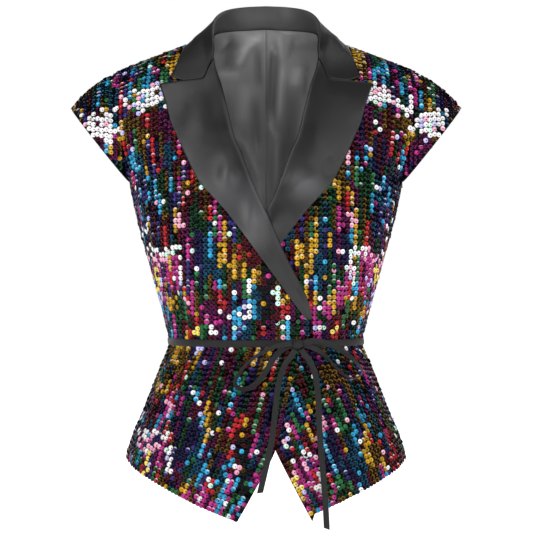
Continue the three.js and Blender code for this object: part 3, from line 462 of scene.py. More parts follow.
def through(rows, key, value):
    """A smooth curve through a table's rows that never overshoots between them"""
    ordered = sorted(rows, key=lambda row: row[key])
    xs = np.array([row[key] for row in ordered], float)
    ys = np.array([row[value] for row in ordered], float)
    rises = np.diff(ys) / np.diff(xs)
    slopes = np.empty_like(ys)
    slopes[0], slopes[-1] = rises[0], rises[-1]
    before, after = rises[:-1], rises[1:]
    same = before * after > 0
    slopes[1:-1] = np.where(same, 2 * before * after / np.where(same, before + after, 1), 0)

    def read(at):
        x = np.clip(at, xs[0], xs[-1])
        i = np.clip(np.searchsorted(xs, x, side="right") - 1, 0, len(xs) - 2)
        width = xs[i + 1] - xs[i]
        return between(ys[i], slopes[i] * width, ys[i + 1], slopes[i + 1] * width, (x - xs[i]) / width)

    return read


side_at = through(SIDES, "z", "x")
front_depth = through(DEPTHS, "z", "front")
back_depth = through(DEPTHS, "z", "back")
squareness = through(DEPTHS, "z", "power")
right_edge = through(RIGHT_EDGE, "z", "s")
left_edge = through(LEFT_EDGE, "z", "s")
lapel_outer = through(LAPEL_OUTER, "z", "s")
front_hem = through(FRONT_HEM, "s", "z")
collar_tip_z = through(COLLAR, "turn", "z")
EDGES = {-1: right_edge, 1: left_edge}


def unit(vectors):
    """Vectors of length one"""
    return vectors / np.maximum(np.linalg.norm(vectors, axis=-1, keepdims=True), 1e-9)


def dot(a, b):
    """Dot products that keep their last axis"""
    return np.sum(a * b, axis=-1, keepdims=True)


def vectors(x, y, z):
    """Points from three arrays"""
    return np.stack(np.broadcast_arrays(x, y, z), axis=-1).astype(float)


def armhole_set(z):
    """How far in front of or behind the side the armhole runs"""
    middle = (SHOULDER_TIP_Z + UNDERARM_Z) / 2
    half = (SHOULDER_TIP_Z - UNDERARM_Z) / 2
    return ARMHOLE_SET * np.sqrt(np.maximum(0, 1 - ((z - middle) / half) ** 2))


def section(z, face):
    """One level of the body: face -1 is the front and +1 the back"""
    depth = front_depth(z) if face < 0 else back_depth(z)
    power = squareness(z)
    reach = side_at(z) / (1 - (armhole_set(z) / depth) ** power) ** (1 / power)
    return depth, power, reach


def form_point(angle, z, face):
    """The outside of the body cloth, at an angle round it: 0 is the centre"""
    depth, power, reach = section(z, face)
    x = reach * signed_power(np.sin(angle), 2 / power)
    y = face * depth * signed_power(np.cos(angle), 2 / power)
    return vectors(x, y, z)


def angle_at(x, z, face):
    """Angle round the body of a distance from the middle line"""
    _, power, reach = section(z, face)
    return np.arcsin(signed_power(np.clip(x / reach, -1, 1), power / 2))


def form_normal(angle, z, face):
    """Outward normals of the body"""
    turn, step = 0.004, 0.5
    around = form_point(angle + turn, z, face) - form_point(angle - turn, z, face)
    up = form_point(angle, z + step, face) - form_point(angle, z - step, face)
    return unit(-face * np.cross(around, up))


def gather(angle, z, face):
    """Height of the soft folds above the plain form, with small pinches at the belt"""
    z = np.asarray(z, float)
    run = np.abs(z - WAIST_Z)
    height = np.zeros(np.broadcast(angle, z).shape)
    for fold in GATHERS:
        if fold["face"] != face:
            continue
        length = np.where(z > WAIST_Z, fold["above"], fold["below"])
        rise = smooth(GATHER_PRESSED, GATHER_PRESSED + GATHER_FADE, run)
        fade = 1 - smooth(0.5, 1, run / length)
        across = (np.degrees(angle) - fold["angle"]) / fold["width"]
        height = height + fold["height"] * rise * fade * np.exp(-across * across)
    pinch = smooth(5, 14, run) * (1 - smooth(18, 46, run))
    ripple = np.sin(np.degrees(angle) * 0.55 + 1.3 * np.sin(np.degrees(angle) * 0.11))
    return height + 0.7 * pinch * ripple


def place(angle, z, face, offset):
    """Points on the cloth, lifted off the plain form, half a seam from the side plane"""
    lifted = np.asarray(offset + gather(angle, z, face))[..., None]
    lifted = form_point(angle, z, face) + form_normal(angle, z, face) * lifted
    return lifted + np.array((0, face * SEAM / 2, 0))


def lap_lift(side, x, z):
    """How far the overlapping right front stands off the form"""
    return LAP_LIFT * smooth(-150, -66, x) * smooth(-150, -240, z) if side < 0 else 0


def mound(row, s, z, wider=(1, 1)):
    """A soft mound of height one at a row's place, by its half sizes"""
    across = (s - row["s"]) / (wider[0] * row["half_s"])
    down = (z - row["z"]) / (wider[1] * row["half_z"])
    return np.exp(-(across**2) - down**2)


def form_radius(points):
    """One on the form, and more outside it"""
    x, y, z = points[..., 0], points[..., 1], points[..., 2]
    front, power, front_reach = section(z, -1)
    back, _, back_reach = section(z, 1)
    depth = np.where(y < 0, front, back)
    reach = np.where(y < 0, front_reach, back_reach)
    return (np.abs(x / reach) ** power + np.abs(y / depth) ** power) ** (1 / power)


def height_over(points):
    """Distance of points outside the form, good near it, and its slope there"""
    step = 0.25
    slope = np.zeros_like(points)
    for axis in range(3):
        ahead, behind = points.copy(), points.copy()
        ahead[..., axis] += step
        behind[..., axis] -= step
        slope[..., axis] = (form_radius(ahead) - form_radius(behind)) / (2 * step)
    steepness = np.linalg.norm(slope, axis=-1)
    return (form_radius(points) - 1) / steepness, slope / steepness[..., None]


def push_clear(points, clearance):
    """Moves points out until they clear the form"""
    for _ in range(4):
        height, normal = height_over(points)
        points = points + normal * np.maximum(clearance - height, 0)[..., None]
    return points


def row_levels(row):
    """Heights of a panel row at the side seam or armhole, and at the front edge"""
    t = np.clip(row / ARMHOLE_ROWS, 0, 1)
    upper_side = mix(SHOULDER_TIP_Z, UNDERARM_Z, (1 - np.cos(math.pi * t)) / 2)
    upper_edge = mix(NECK_POINT_Z, LOWER_ROWS[0]["edge"], t**1.15)
    numbers = np.arange(len(LOWER_ROWS)) + ARMHOLE_ROWS
    lower_side = np.interp(row, numbers, [level["side"] for level in LOWER_ROWS])
    lower_edge = np.interp(row, numbers, [level["edge"] for level in LOWER_ROWS])
    above = row <= ARMHOLE_ROWS
    return np.where(above, upper_side, lower_side), np.where(above, upper_edge, lower_edge)


def front_panel_point(side, u, row):
    """Angle and height on a front, from its edge (0) to its side (1)"""
    edge_of = EDGES[side]
    side_z, edge_z = row_levels(row)
    inner = angle_at(edge_of(edge_z), edge_z, -1)
    outer = angle_at(side_at(side_z), side_z, -1)
    start_z = LOWER_ROWS[-1]["edge"]
    start = angle_at(edge_of(start_z), start_z, -1)
    hem_angle = mix(start, RIGHT_ANGLE, u)
    hem_z = mix(start_z, SIDE_HEM_Z, u)
    for _ in range(6):
        hem_z = front_hem(form_point(hem_angle, hem_z, -1)[..., 0])
    hem_z = np.where(u <= 0, start_z, np.where(u >= 1, SIDE_HEM_Z, hem_z))
    share = (row / ROWS) ** 3
    z = mix(edge_z, side_z, u) + share * (hem_z - mix(start_z, SIDE_HEM_Z, u))
    return side * mix(inner, outer, u), z


def front_grid(side, columns, rows, offset):
    """A front's points, lifted off its form"""
    u = np.linspace(0, 1, columns + 1)[None, :]
    row = np.linspace(0, ROWS, rows + 1)[:, None]
    angle, z = front_panel_point(side, u, row)
    lift = lap_lift(side, form_point(angle, z, -1)[..., 0], z)
    return place(angle, z, -1, offset + lift)


NECK_COLUMNS = 5
BACK_COLUMNS = 11


def back_panel_point(column, row, shorten=0):
    """Angle and height on the back for a column counted from the centre back"""
    u = np.abs(column) / BACK_COLUMNS
    side_z, _ = row_levels(row)
    centre_z = np.where(
        row <= ARMHOLE_ROWS,
        mix(NECK_POINT_Z + NECK_RISE, UNDERARM_Z, row / ARMHOLE_ROWS),
        side_z + (BACK_HEM_Z - SIDE_HEM_Z) * smooth(-460, SIDE_HEM_Z, side_z),
    )
    outer = angle_at(side_at(side_z), side_z, 1)
    neck = NECK_COLUMNS / BACK_COLUMNS
    top_angle = RIGHT_ANGLE * np.minimum(u / neck, 1)
    shoulder = mix(NECK_POINT_Z, SHOULDER_TIP_Z, (u - neck) / (1 - neck))
    top_z = np.where(u <= neck, NECK_POINT_Z + NECK_RISE * np.cos(top_angle), shoulder)
    top_share = np.maximum(0, 1 - row / 10) ** 1.5
    bottom_share = (row / ROWS) ** 3
    angle = outer * u + top_share * (top_angle - RIGHT_ANGLE * u)
    z = mix(centre_z, side_z, u)
    z = z + top_share * (top_z - mix(NECK_POINT_Z + NECK_RISE, SHOULDER_TIP_Z, u))
    z = z + bottom_share * (mix(BACK_HEM_Z, SIDE_HEM_Z, u * u) - mix(BACK_HEM_Z, SIDE_HEM_Z, u))
    drop = np.clip((z - NECK_POINT_Z) / (SIDE_HEM_Z - NECK_POINT_Z), 0, 1)
    return np.sign(column) * angle, z + shorten * drop


def back_grid(columns, rows, offset):
    """The back's points, lifted off its form"""
    column = np.linspace(-BACK_COLUMNS, BACK_COLUMNS, 2 * columns + 1)[None, :]
    row = np.linspace(0, ROWS, rows + 1)[:, None]
    angle, z = back_panel_point(column, row)
    return place(angle, z, 1, offset)


def lining_fold(x, z):
    """Inward height of the lining's soft creases and hanging folds"""
    low = smooth(-210, -330, z)
    height = 1.1 * (1 + np.sin(x * 0.075 + 0.9 + 0.004 * z)) * low
    for crease in LINING_CREASES:
        across, down = crease["x1"] - crease["x0"], crease["z1"] - crease["z0"]
        length = across**2 + down**2
        along = ((x - crease["x0"]) * across + (z - crease["z0"]) * down) / length
        off = ((x - crease["x0"]) * down - (z - crease["z0"]) * across) / math.sqrt(length)
        ends = smooth(-0.15, 0.25, along) * (1 - smooth(0.75, 1.15, along))
        height = height + crease["height"] * ends * np.exp(-((off / crease["width"]) ** 2))
    pressed = smooth(19, 12, z) * smooth(-330, -180, z)
    fine = np.exp(-(((x + 1.6) / 1.3) ** 2)) - 0.8 * np.exp(-(((x - 1.6) / 1.6) ** 2))
    return height * smooth(17, 6, z) + 0.75 * fine * pressed


def lining_tone(x, z):
    """Painted sheen of the lining: lighter on its ridges, darker in its troughs, and lighter lower down"""
    return 0.28 + lining_fold(x, z) / 7 + 0.42 * smooth(-40, -230, z)


def lining_grid(side, rows, thickness):
    """Half of the back lining, with half of the pleat at its centre seam"""
    close = (0, 0.012, 0.03, 0.05, 0.075, 0.11, 0.16, 0.22, 0.3, 0.4, 0.52, 0.65)
    column = np.concatenate((close, np.linspace(0.8, BACK_COLUMNS, LINING_COLUMNS)))[None, :]
    row = np.linspace(0, ROWS, rows + 1)[:, None]
    angle, z = back_panel_point(column, row, LINING_SHORTER)
    pleat = (0.6 + 3.4 * np.exp((z - NECK_POINT_Z) / 90)) * np.exp(-((column / 0.8) ** 2))
    edge = 1 - smooth(9.8, 11, column)
    inside = PANEL + LINING_GAP + LINING_HANG * smooth(-290, -350, z) + pleat + thickness
    form = form_point(side * angle, z, 1)
    inside = inside + lining_fold(form[..., 0], z) * edge
    points = form - form_normal(side * angle, z, 1) * inside[..., None]
    points[..., 0] += np.where(column == 0, side * SEAM / 2, 0)
    points[..., 1] += SEAM / 2
    return points


def armhole_edge(side, face, offset, steps):
    """Points along a panel's armhole edge, from the shoulder tip to the underarm"""
    row = np.linspace(0, ARMHOLE_ROWS, steps + 1)
    z, _ = row_levels(row)
    angle = angle_at(side_at(z), z, face)
    return place(side * angle, z, face, offset)


def armhole_ring(side, offset, steps):
    """The whole armhole, down the front and up the back"""
    front = armhole_edge(side, -1, offset, steps)
    back = armhole_edge(side, 1, offset, steps)
    ring = np.vstack([front, back[1:-1][::-1]])
    ring[0] = (front[0] + back[0]) / 2
    ring[steps] = (front[-1] + back[-1]) / 2
    return ring


def round_average(values, reach):
    """Means over neighbours on a closed ring"""
    shifted = [np.roll(values, shift, axis=0) for shift in range(-reach, reach + 1)]
    return np.mean(shifted, axis=0)


def sleeve_grids(side, steps=48, rings=22):
    """Outer and inner points of a cap sleeve, from the armhole seam to its slanted hem"""
    seam_outer = armhole_ring(side, 0, steps)
    seam_inner = armhole_ring(side, -PANEL, steps)
    count = len(seam_outer)
    along = np.roll(seam_outer, -1, axis=0) - np.roll(seam_outer, 1, axis=0)
    outward = unit(round_average(seam_outer - seam_inner, 2))
    away = unit(np.cross(along, outward))
    flip = np.where(away[:, 0] * side + away[:, 2] * 0.5 < 0, -1, 1)
    away = unit(round_average(away * flip[:, None], 2))
    turn = 2 * math.pi * np.arange(count) / count
    mirror = np.array((side, 1, 1))
    cuff = np.array(CUFF_CENTRE) * mirror
    cuff = cuff + np.array(CUFF_ALONG) * mirror * CUFF_REACH * np.cos(turn)[:, None]
    cuff[:, 1] -= CUFF_HALF_DEPTH * np.sin(turn)
    t = np.linspace(0, 1, rings + 1)[:, None, None]
    crown = SLEEVE_CROWN * 4 * t * (1 - t) * (1 + np.cos(turn))[None, :, None] / 2
    start = seam_outer + away * (SEAM + 0.05)
    outer = mix(start[None], cuff[None], t) + outward[None] * crown
    across = np.roll(outer, -1, axis=1) - np.roll(outer, 1, axis=1)
    down = np.gradient(outer, axis=0)
    normal = unit(np.cross(across, down))
    centre = np.array((side * 225, 0, -145))
    inward = np.sign(dot(normal, centre - outer))
    inner = outer + normal * inward * PANEL
    inner[0] = seam_inner + away * (SEAM + 0.05)
    return outer, inner, -normal * inward


# Satin pieces


def roll_points(steps, count):
    """A smooth run of steps out from the panel and back from its edge"""
    rows = [{"t": i, "out": out, "back": back} for i, (out, back) in enumerate(steps)]
    t = np.linspace(0, len(steps) - 1, count + 1)[:-1]
    return through(rows, "t", "out")(t), through(rows, "t", "back")(t)


def lapel_tone(side, s, z):
    """Painted sheen of a lapel: lighter where it swells, along its rolled edge, and where the right one
    crosses over
    """
    swell = sum(
        mound(dent, s, z, (1.2, 1.4)) for dent in LAPEL_DRAPE
        if dent["side"] == side and -300 < dent["z"] < -170 and dent["height"] > 1
    )
    # A painted highlight along the lapel's rolled edge
    rim = 0.5 * np.exp(-(((s - EDGES[side](z)) / 2.2) ** 2))
    rim = rim * smooth(-70, -110, z) * smooth(-275, -240, z)
    if side > 0:
        return 1.05 * swell * smooth(-250, -232, z) + 0.6 * rim
    # Painted sheen where the right lapel crosses over
    crossing = 0.6 * smooth(-185, -235, z) * smooth(-318, -280, z)
    return (0.5 * swell + crossing) * smooth(-14, 6, s) + rim


def lapel_grid(side, steps, offset):
    """The lapel: a facing rolled over the front's edge and laid on the panel"""
    edge_of = EDGES[side]
    top_s = through(LAPEL_TOP, "u", "s")
    top_z = through(LAPEL_TOP, "u", "z")

    def spot(u, v):
        inner_z = mix(LAPEL_TOP[0]["z"], LAPEL_END_Z, v)
        outer_z = mix(LAPEL_TOP[-1]["z"], LAPEL_END_Z - 2, v)
        inner_s, outer_s = edge_of(inner_z), lapel_outer(outer_z)
        top_share = (1 - v) ** 2
        s = mix(inner_s, outer_s, u) + top_share * (top_s(u) - mix(top_s(0), top_s(1), u))
        z = mix(inner_z, outer_z, u) + top_share * (top_z(u) - mix(top_z(0), top_z(1), u))
        return s, z

    def on(s, z, height):
        return place(side * angle_at(s, z, -1), z, -1, height + lap_lift(side, side * s, z))

    v = np.linspace(0, 1, LAPEL_ROWS + 1)[:, None]
    u = np.linspace(0, 1, LAPEL_COLUMNS + 1)[None, :]
    s, z = spot(u, v)
    puff = 0.9 * np.sin(math.pi * np.clip(u * 1.25, 0, 1)) ** 2 * smooth(0, 0.08, v)
    crease = 0.5 * np.sin(z * 0.045 + s * 0.03) * smooth(0, 0.3, u) * (1 - smooth(0.6, 1, u))
    drape = sum(dent["height"] * mound(dent, s, z) for dent in LAPEL_DRAPE if dent["side"] == side)
    relief = (puff + crease + drape) * smooth(0, 0.12, u) * (1 - smooth(0.9, 1, u))
    flat = on(s, z, offset + (np.maximum(relief, -0.4) if offset > LAY else 0))
    edge_s, edge_z = spot(np.zeros(1)[None, :], v)
    edge = on(edge_s, edge_z, 0)
    outward = on(edge_s, edge_z, 1) - edge
    along = unit(on(edge_s + 4, edge_z, 0) - edge)
    out, back = roll_points(steps, 10)
    rolled = edge + outward * out[None, :, None] + along * back[None, :, None]
    return np.concatenate([rolled, flat], axis=1)


def neckline(at):
    """Where the collar's stand sits, on the panels' neck edges"""
    back_angle = RIGHT_ANGLE * np.clip(at / 5, 0, 1)
    back = form_point(back_angle, NECK_POINT_Z + NECK_RISE * np.cos(back_angle), 1)
    z = through(NECK_SEAM, "at", "z")(at)
    front = form_point(angle_at(right_edge(z), z, -1), z, -1)
    back[..., 1] += SEAM / 2
    front[..., 1] -= SEAM / 2
    return np.where((at <= 5)[..., None], back, front)


def on_body(turn, z, lift):
    """Points on the body at an angle from the centre back, lifted off it"""
    behind = turn < 90
    angle = np.radians(np.where(behind, turn, 180 - turn))
    points = [
        form_point(angle, z, face)
        + np.array((0, face * SEAM / 2, 0))
        + form_normal(angle, z, face) * lift
        for face in (1, -1)
    ]
    return np.where(behind[..., None], *points)


def collar_grids():
    """Face and underside of the collar's wearer's-left half, from the foot over the roll"""
    at = np.linspace(0, COLLAR_END, COLLAR_STATIONS)
    column = {name: through(COLLAR, "at", name)(at) for name in ("foldX", "foldY", "foldZ", "turn", "z")}
    lift = LAY + SATIN
    seam = neckline(at)
    turned = smooth(COLLAR_END / 2, COLLAR_END, at)[:, None]
    tip = on_body(column["turn"], column["z"], lift)
    top = vectors(column["foldX"], column["foldY"], column["foldZ"])
    _, seam_normal = height_over(seam)
    top = mix(top, seam + seam_normal * (lift + 0.3), turned**3)
    rise = top - seam
    stand = unit(unit(rise) * (1 - turned) + seam_normal * turned)
    across = tip - top
    across = unit(across - stand * dot(across, stand))
    up, out = dot(rise, stand), dot(rise, across)
    to_tip = tip - top
    heading = np.arctan2(dot(to_tip, across), dot(to_tip, stand))

    def flat(a, b):
        return seam + stand * a + across * b

    face = [flat(mix(1, -1.4, turned), mix(-PANEL, -2.7, turned))]
    under = [flat(mix(1, -1.4, turned), mix(0, -1, turned))]
    for share in np.linspace(0, 1, COLLAR_ROLL_STEPS):
        bend = heading * share
        for layer, radius in ((face, ROLL), (under, ROLL - SATIN)):
            layer.append(flat(up - ROLL + radius * np.sin(bend), out - radius * np.cos(bend)))
    roll_end = face[-1]
    towards = smooth(0.5, 1, at / COLLAR_END)[:, None]
    gorge_s, gorge_z = through(GORGE, "t", "s"), through(GORGE, "t", "z")
    first, last = GORGE[0], GORGE[-1]
    fall = []
    for t in np.linspace(0, 1, COLLAR_FALL_STEPS + 1)[1:]:
        bow = (gorge_s(t) - mix(first["s"], last["s"], t), 0, gorge_z(t) - mix(first["z"], last["z"], t))
        spot = push_clear(mix(roll_end, tip, t) + np.array(bow) * towards, lift)
        end = place(angle_at(gorge_s(t), gorge_z(t), -1), gorge_z(t), -1, lift)
        fall.append(spot + (end - spot[-1]) * towards**2 * smooth(0, 0.2, t))
    fall = np.stack(fall)
    for _ in range(COLLAR_FALL_PASSES):
        fall[:, 1:-1] = fall[:, 1:-1] / 2 + (fall[:, :-2] + fall[:, 2:]) / 4
    fall = list(fall)
    puff = 0.9 * np.sin(math.pi * np.linspace(0, 1, COLLAR_FALL_STEPS + 1)[1:])
    fixed = len(face)
    face = np.stack(face + fall, axis=1)
    along = np.gradient(face, axis=0)
    down = np.gradient(face, axis=1)
    normal = unit(np.cross(along, down))
    _, outward = height_over(face)
    normal = normal * np.sign(dot(normal, outward))
    below = push_clear(face[:, fixed:] - normal[:, fixed:] * SATIN, LAY * 0.9)
    face[:, fixed:] += normal[:, fixed:] * puff[None, :, None] * (1 - towards[:, :, None] * 0.5)
    return face, np.concatenate([np.stack(under, axis=1), below], axis=1)


def mirrored_pair(half):
    """Both halves of a collar grid, from the wearer's right to the left"""
    right = half[1:][::-1] * np.array((-1, 1, 1))
    return np.concatenate([right, half], axis=0)


# Ribbons


def even_curve(points, count):
    """Points evenly spaced along a smooth curve through the given ones"""
    points = np.asarray(points, float)
    ends = np.vstack([2 * points[0] - points[1], points, 2 * points[-1] - points[-2]])
    t = np.linspace(0, 1, 24, endpoint=False)[:, None]
    run = []
    for before, start, end, after in zip(ends, ends[1:], ends[2:], ends[3:]):
        gaps = [np.linalg.norm(b - a) ** 0.5 for a, b in ((before, start), (start, end), (end, after))]
        leave = (start - before) / gaps[0] - (end - before) / (gaps[0] + gaps[1])
        arrive = (after - end) / gaps[2] - (after - start) / (gaps[1] + gaps[2])
        leave = (leave + (end - start) / gaps[1]) * gaps[1]
        arrive = (arrive + (end - start) / gaps[1]) * gaps[1]
        run.append(between(start, leave, end, arrive, t))
    run = np.vstack(run + [points[-1:]])
    gone = np.concatenate([[0], np.cumsum(np.linalg.norm(np.diff(run, axis=0), axis=1))])
    wanted = np.linspace(0, gone[-1], count)
    return np.stack([np.interp(wanted, gone, run[:, axis]) for axis in range(3)], axis=1)


def ribbon_grids(centre, across, width, thickness, cup):
    """Face and back of a ribbon along a curve, a little cupped across its width"""
    along = unit(np.gradient(centre, axis=0))
    across = unit(across - along * dot(across, along))
    normal = np.cross(along, across)
    edge = np.linspace(-1, 1, RIBBON_COLUMNS + 1)[None, :, None]
    middle = centre[:, None] + across[:, None] * edge * width / 2
    middle = middle + normal[:, None] * cup * (0.5 - edge**2)
    half = normal[:, None] * thickness / 2
    return middle + half, middle - half


def loop_grids(rows):
    """Face and back of one loop of the bow"""
    centre = even_curve([(row["x"], row["y"], row["z"]) for row in rows], LOOP_POINTS)
    turns = [{"t": i / (len(rows) - 1), "turn": row["turn"]} for i, row in enumerate(rows)]
    turn = np.radians(through(turns, "t", "turn")(np.linspace(0, 1, LOOP_POINTS)))[:, None]
    along = unit(np.gradient(centre, axis=0))
    flat = unit(np.cross(along, np.array((0, -1, 0))))
    across = flat * np.cos(turn) - np.array((0, 1, 0)) * np.sin(turn)
    return ribbon_grids(centre, across, LOOP_WIDTH, RIBBON * 0.7, 0.5)


def tail_route(rows):
    """Centre line of a tail: off the knot, then down the front of the skirt"""
    points = []
    for i, row in enumerate(rows):
        x, z = float(row["x"]), float(row["z"])
        form = form_point(angle_at(x, z, -1), z, -1)
        lying = form[1] - lap_lift(-1, 0, z) - TAIL_STAND_OFF
        y = mix(TAIL_START_Y, lying, smooth(0, 4, i))
        points.append((x, float(y), z))
    return even_curve(points, TAIL_POINTS)


def tail_grids(centre, cut):
    """Face and back of a tail, its end cut on the slant"""
    along = np.gradient(centre, axis=0)
    across = np.cross(along, np.array((0.12, -1, 0)))
    face, back = ribbon_grids(centre, across, TAIL_WIDTH, RIBBON * 0.85, 0.45)
    slant = np.linspace(-1, 1, face.shape[1]) * cut
    for grid in (face, back):
        grid[-1] += unit(along[-1]) * slant[:, None]
    return face, back


def belt_grids():
    """Outer and inner points of the belt, drawn round the waist over both fronts"""
    turn = 2 * math.pi * np.arange(BELT_TURNS) / BELT_TURNS
    ahead = np.cos(turn) > 0
    angle = np.arcsin(np.sin(turn))
    grids = []
    for offset in (BELT_GAP + RIBBON, BELT_GAP):
        points = np.empty((BELT_TURNS, 3))
        for face, chosen in ((-1, ahead), (1, ~ahead)):
            level = np.full(chosen.sum(), WAIST_Z)
            form = form_point(angle[chosen], level, face)
            normal = form_normal(angle[chosen], level, face)
            normal[:, 2] = 0
            lift = LAP_LIFT * smooth(-150, -66, form[:, 0]) * (1 - smooth(62, 118, form[:, 0]))
            lift = lift * (face < 0) + offset
            points[chosen] = form + unit(normal) * lift[:, None]
            points[chosen, 1] += face * SEAM / 2
        outward = unit(points * np.array((1, 1, 0)))
        wave = 0.35 * np.sin(turn * 17 + 2 * np.sin(turn * 3))
        rings = [
            points + outward * (0.45 * (1 - edge * edge) + 0.2 + wave * edge)[:, None]
            + np.array((0, 0, edge * BELT_WIDTH / 2))
            for edge in np.linspace(-1, 1, RIBBON_COLUMNS + 1)
        ]
        grids.append(np.stack(rings, axis=0))
    return grids


# Meshes


def faces_of(index, ring):
    """Quads between the rows and columns of a grid of vertex numbers"""
    left, right = (index, np.roll(index, -1, axis=1)) if ring else (index[:, :-1], index[:, 1:])
    return np.stack([left[:-1], left[1:], right[1:], right[:-1]], axis=-1).reshape(-1, 4)


def link(name, data):
    """A new object in the scene"""
    made = bpy.data.objects.new(name, data)
    bpy.context.scene.collection.objects.link(made)
    return made


def piece_from(name, points, faces, kinds, materials):
    """A smooth mesh object of four-sided faces, from points in millimetres"""
    mesh = bpy.data.meshes.new(name)
    mesh.vertices.add(len(points))
    mesh.vertices.foreach_set("co", (points * MM).ravel())
    mesh.loops.add(faces.size)
    mesh.loops.foreach_set("vertex_index", faces.astype(np.int32).ravel())
    mesh.polygons.add(len(faces))
    mesh.polygons.foreach_set("loop_start", np.arange(len(faces), dtype=np.int32) * faces.shape[1])
    for material in materials:
        mesh.materials.append(material)
    mesh.polygons.foreach_set("material_index", np.asarray(kinds, np.int32))
    mesh.polygons.foreach_set("use_smooth", np.ones(len(faces), bool))
    mesh.update(calc_edges=True)
    mesh.validate()
    return link(name, mesh)


def turned_outward(piece):
    """The same closed piece with all its faces outward"""
    work = bmesh.new()
    work.from_mesh(piece.data)
    bmesh.ops.recalc_face_normals(work, faces=work.faces)
    work.to_mesh(piece.data)
    work.free()
    return piece


def point_layer(piece, name, values):
    """Stores a number at each point for the finish to read"""
    layer = piece.data.attributes.new(name, "FLOAT", "POINT")
    layer.data.foreach_set("value", np.asarray(values, np.float32).ravel())


def shell(name, outer, inner, materials, ring=False):
    """A closed sheet between two grids of points, with rounded rims"""
    rows, columns = outer.shape[:2]
    count = rows * columns
    index = np.arange(count).reshape(rows, columns)
    if ring:
        loops = [index[0], index[-1]]
    else:
        loops = [np.concatenate([index[0, :-1], index[:-1, -1], index[-1, :0:-1], index[:0:-1, 0]])]
    outer_flat, inner_flat = outer.reshape(-1, 3), inner.reshape(-1, 3)
    faces = [faces_of(index, ring), faces_of(index + count, ring)[:, ::-1]]
    kinds = [np.zeros(len(faces[0])), np.full(len(faces[1]), len(materials) - 1)]
    rims = []
    first = 2 * count
    for loop in loops:
        row, column = loop // columns, loop % columns
        inward_column = column if ring else np.clip(column, 1, columns - 2)
        inward = index[np.clip(row, 1, rows - 2), inward_column]
        thick = np.linalg.norm(outer_flat[loop] - inner_flat[loop], axis=1, keepdims=True)
        push = unit(outer_flat[loop] - outer_flat[inward]) * thick * RIM_BULGE
        rims.append((outer_flat[loop] + inner_flat[loop]) / 2 + push)
        rim = np.arange(len(loop)) + first
        first += len(loop)
        following, rim_after = np.roll(loop, -1), np.roll(rim, -1)
        faces.append(np.stack([loop, following, rim_after, rim], axis=1))
        faces.append(np.stack([rim, rim_after, following + count, loop + count], axis=1))
        kinds += [np.zeros(2 * len(loop))]
    points = np.vstack([outer_flat, inner_flat] + rims)
    return turned_outward(piece_from(name, points, np.vstack(faces), np.concatenate(kinds), materials))


# Sequins


class Columns:
    """Places of strung sequins on the cloth, gathered column by column"""

    def __init__(self, settings, side, face):
        self.settings = settings
        self.pitch = settings.row_pitch / MM
        self.side = side
        self.patches = cloth_patches(side, face)
        self.spots = []
        self.count = 0

    def add(self, line, normals, allowed):
        """Strings sequins down one line of points where it is on open cloth"""
        steps = np.linalg.norm(np.diff(line, axis=0), axis=1)
        gone = np.concatenate([[0], np.cumsum(steps)])
        changes = np.flatnonzero(np.diff(allowed.astype(int), prepend=0, append=0))
        for first, last in zip(changes[::2], changes[1::2] - 1):
            ends = [gone[first], gone[last]]
            for k, spot in enumerate((line[first], line[last])):
                if abs(spot[2] - WAIST_Z) < 9:
                    ends[k] += (1 - 2 * k) * RANDOM.uniform(0, 3)
            cups = int(round((ends[1] - ends[0]) / self.pitch)) + 1
            if cups < 1:
                continue
            wanted = np.linspace(*ends, cups) if cups > 1 else np.array([np.mean(ends)])
            wanted[1:-1] += RANDOM.uniform(-0.3, 0.3, max(cups - 2, 0))
            self.string(wanted, gone, line, normals)

    def string(self, wanted, gone, line, normals):
        """Strings one run of cups at the given lengths down the line"""

        def at(values):
            return np.stack([np.interp(wanted, gone, values[:, axis]) for axis in range(3)], axis=1)

        places, normal, down = at(line), unit(at(normals)), unit(at(np.gradient(line, axis=0)))
        colours = strung_colours(self.side * places[:, 0], places[:, 2], self.patches)
        raised = 0.3 * (self.count % 2)
        self.count += 1
        self.spots += list(zip(places, normal, down, colours, [raised] * len(places)))

    def mesh(self, name):
        """One joined mesh of all the sequins of a panel"""
        settings, count = self.settings, len(self.spots)
        places, normal, down, colour, raised = (np.array(values) for values in zip(*self.spots))
        down = unit(down - normal * dot(down, normal))
        aside = np.cross(down, normal)
        aside = aside * np.where(dot(normal, np.array((0, 1, 0))) > 0.2, -1, 1)
        loose = np.where(RANDOM.random((count, 1)) < settings.loose_share, LOOSE_TILT, 1.0)
        tilt = RANDOM.normal(0, math.radians(settings.tilt_degrees), (count, 2)) * loose
        tipped = unit(normal + aside * tilt[:, :1] + down * (tilt[:, 1:] - CUP_LEAN))
        down = unit(down - tipped * dot(down, tipped))
        aside = unit(aside - tipped * dot(aside, tipped) - down * dot(aside, down))
        cup, faces, rim = cup_form(settings)
        base = places + normal * (CUP_LIFT + raised[:, None])
        points = base[:, None]
        for axis, way in enumerate((aside, down, tipped)):
            points = points + way[:, None] * cup[None, :, axis:axis + 1]
        index = faces[None] + (np.arange(count) * len(cup))[:, None, None]
        joined = piece_from(name, points.reshape(-1, 3), index.reshape(-1, 4),
                            np.repeat(colour, len(faces)), sequin_materials())
        # How much painted rim light each point takes, against the cup's painted shade
        point_layer(joined, "rim", np.tile(rim, count))
        # A painted highlight: a pale crescent at the top of some cups
        painted_crescent = np.clip(-2.2 * cup[:, 1] / (settings.diameter / MM / 2) - 0.9, 0, 1)
        lit = RANDOM.random(count) < settings.crescent_share
        point_layer(joined, "painted_crescent", np.outer(lit, painted_crescent))
        return joined


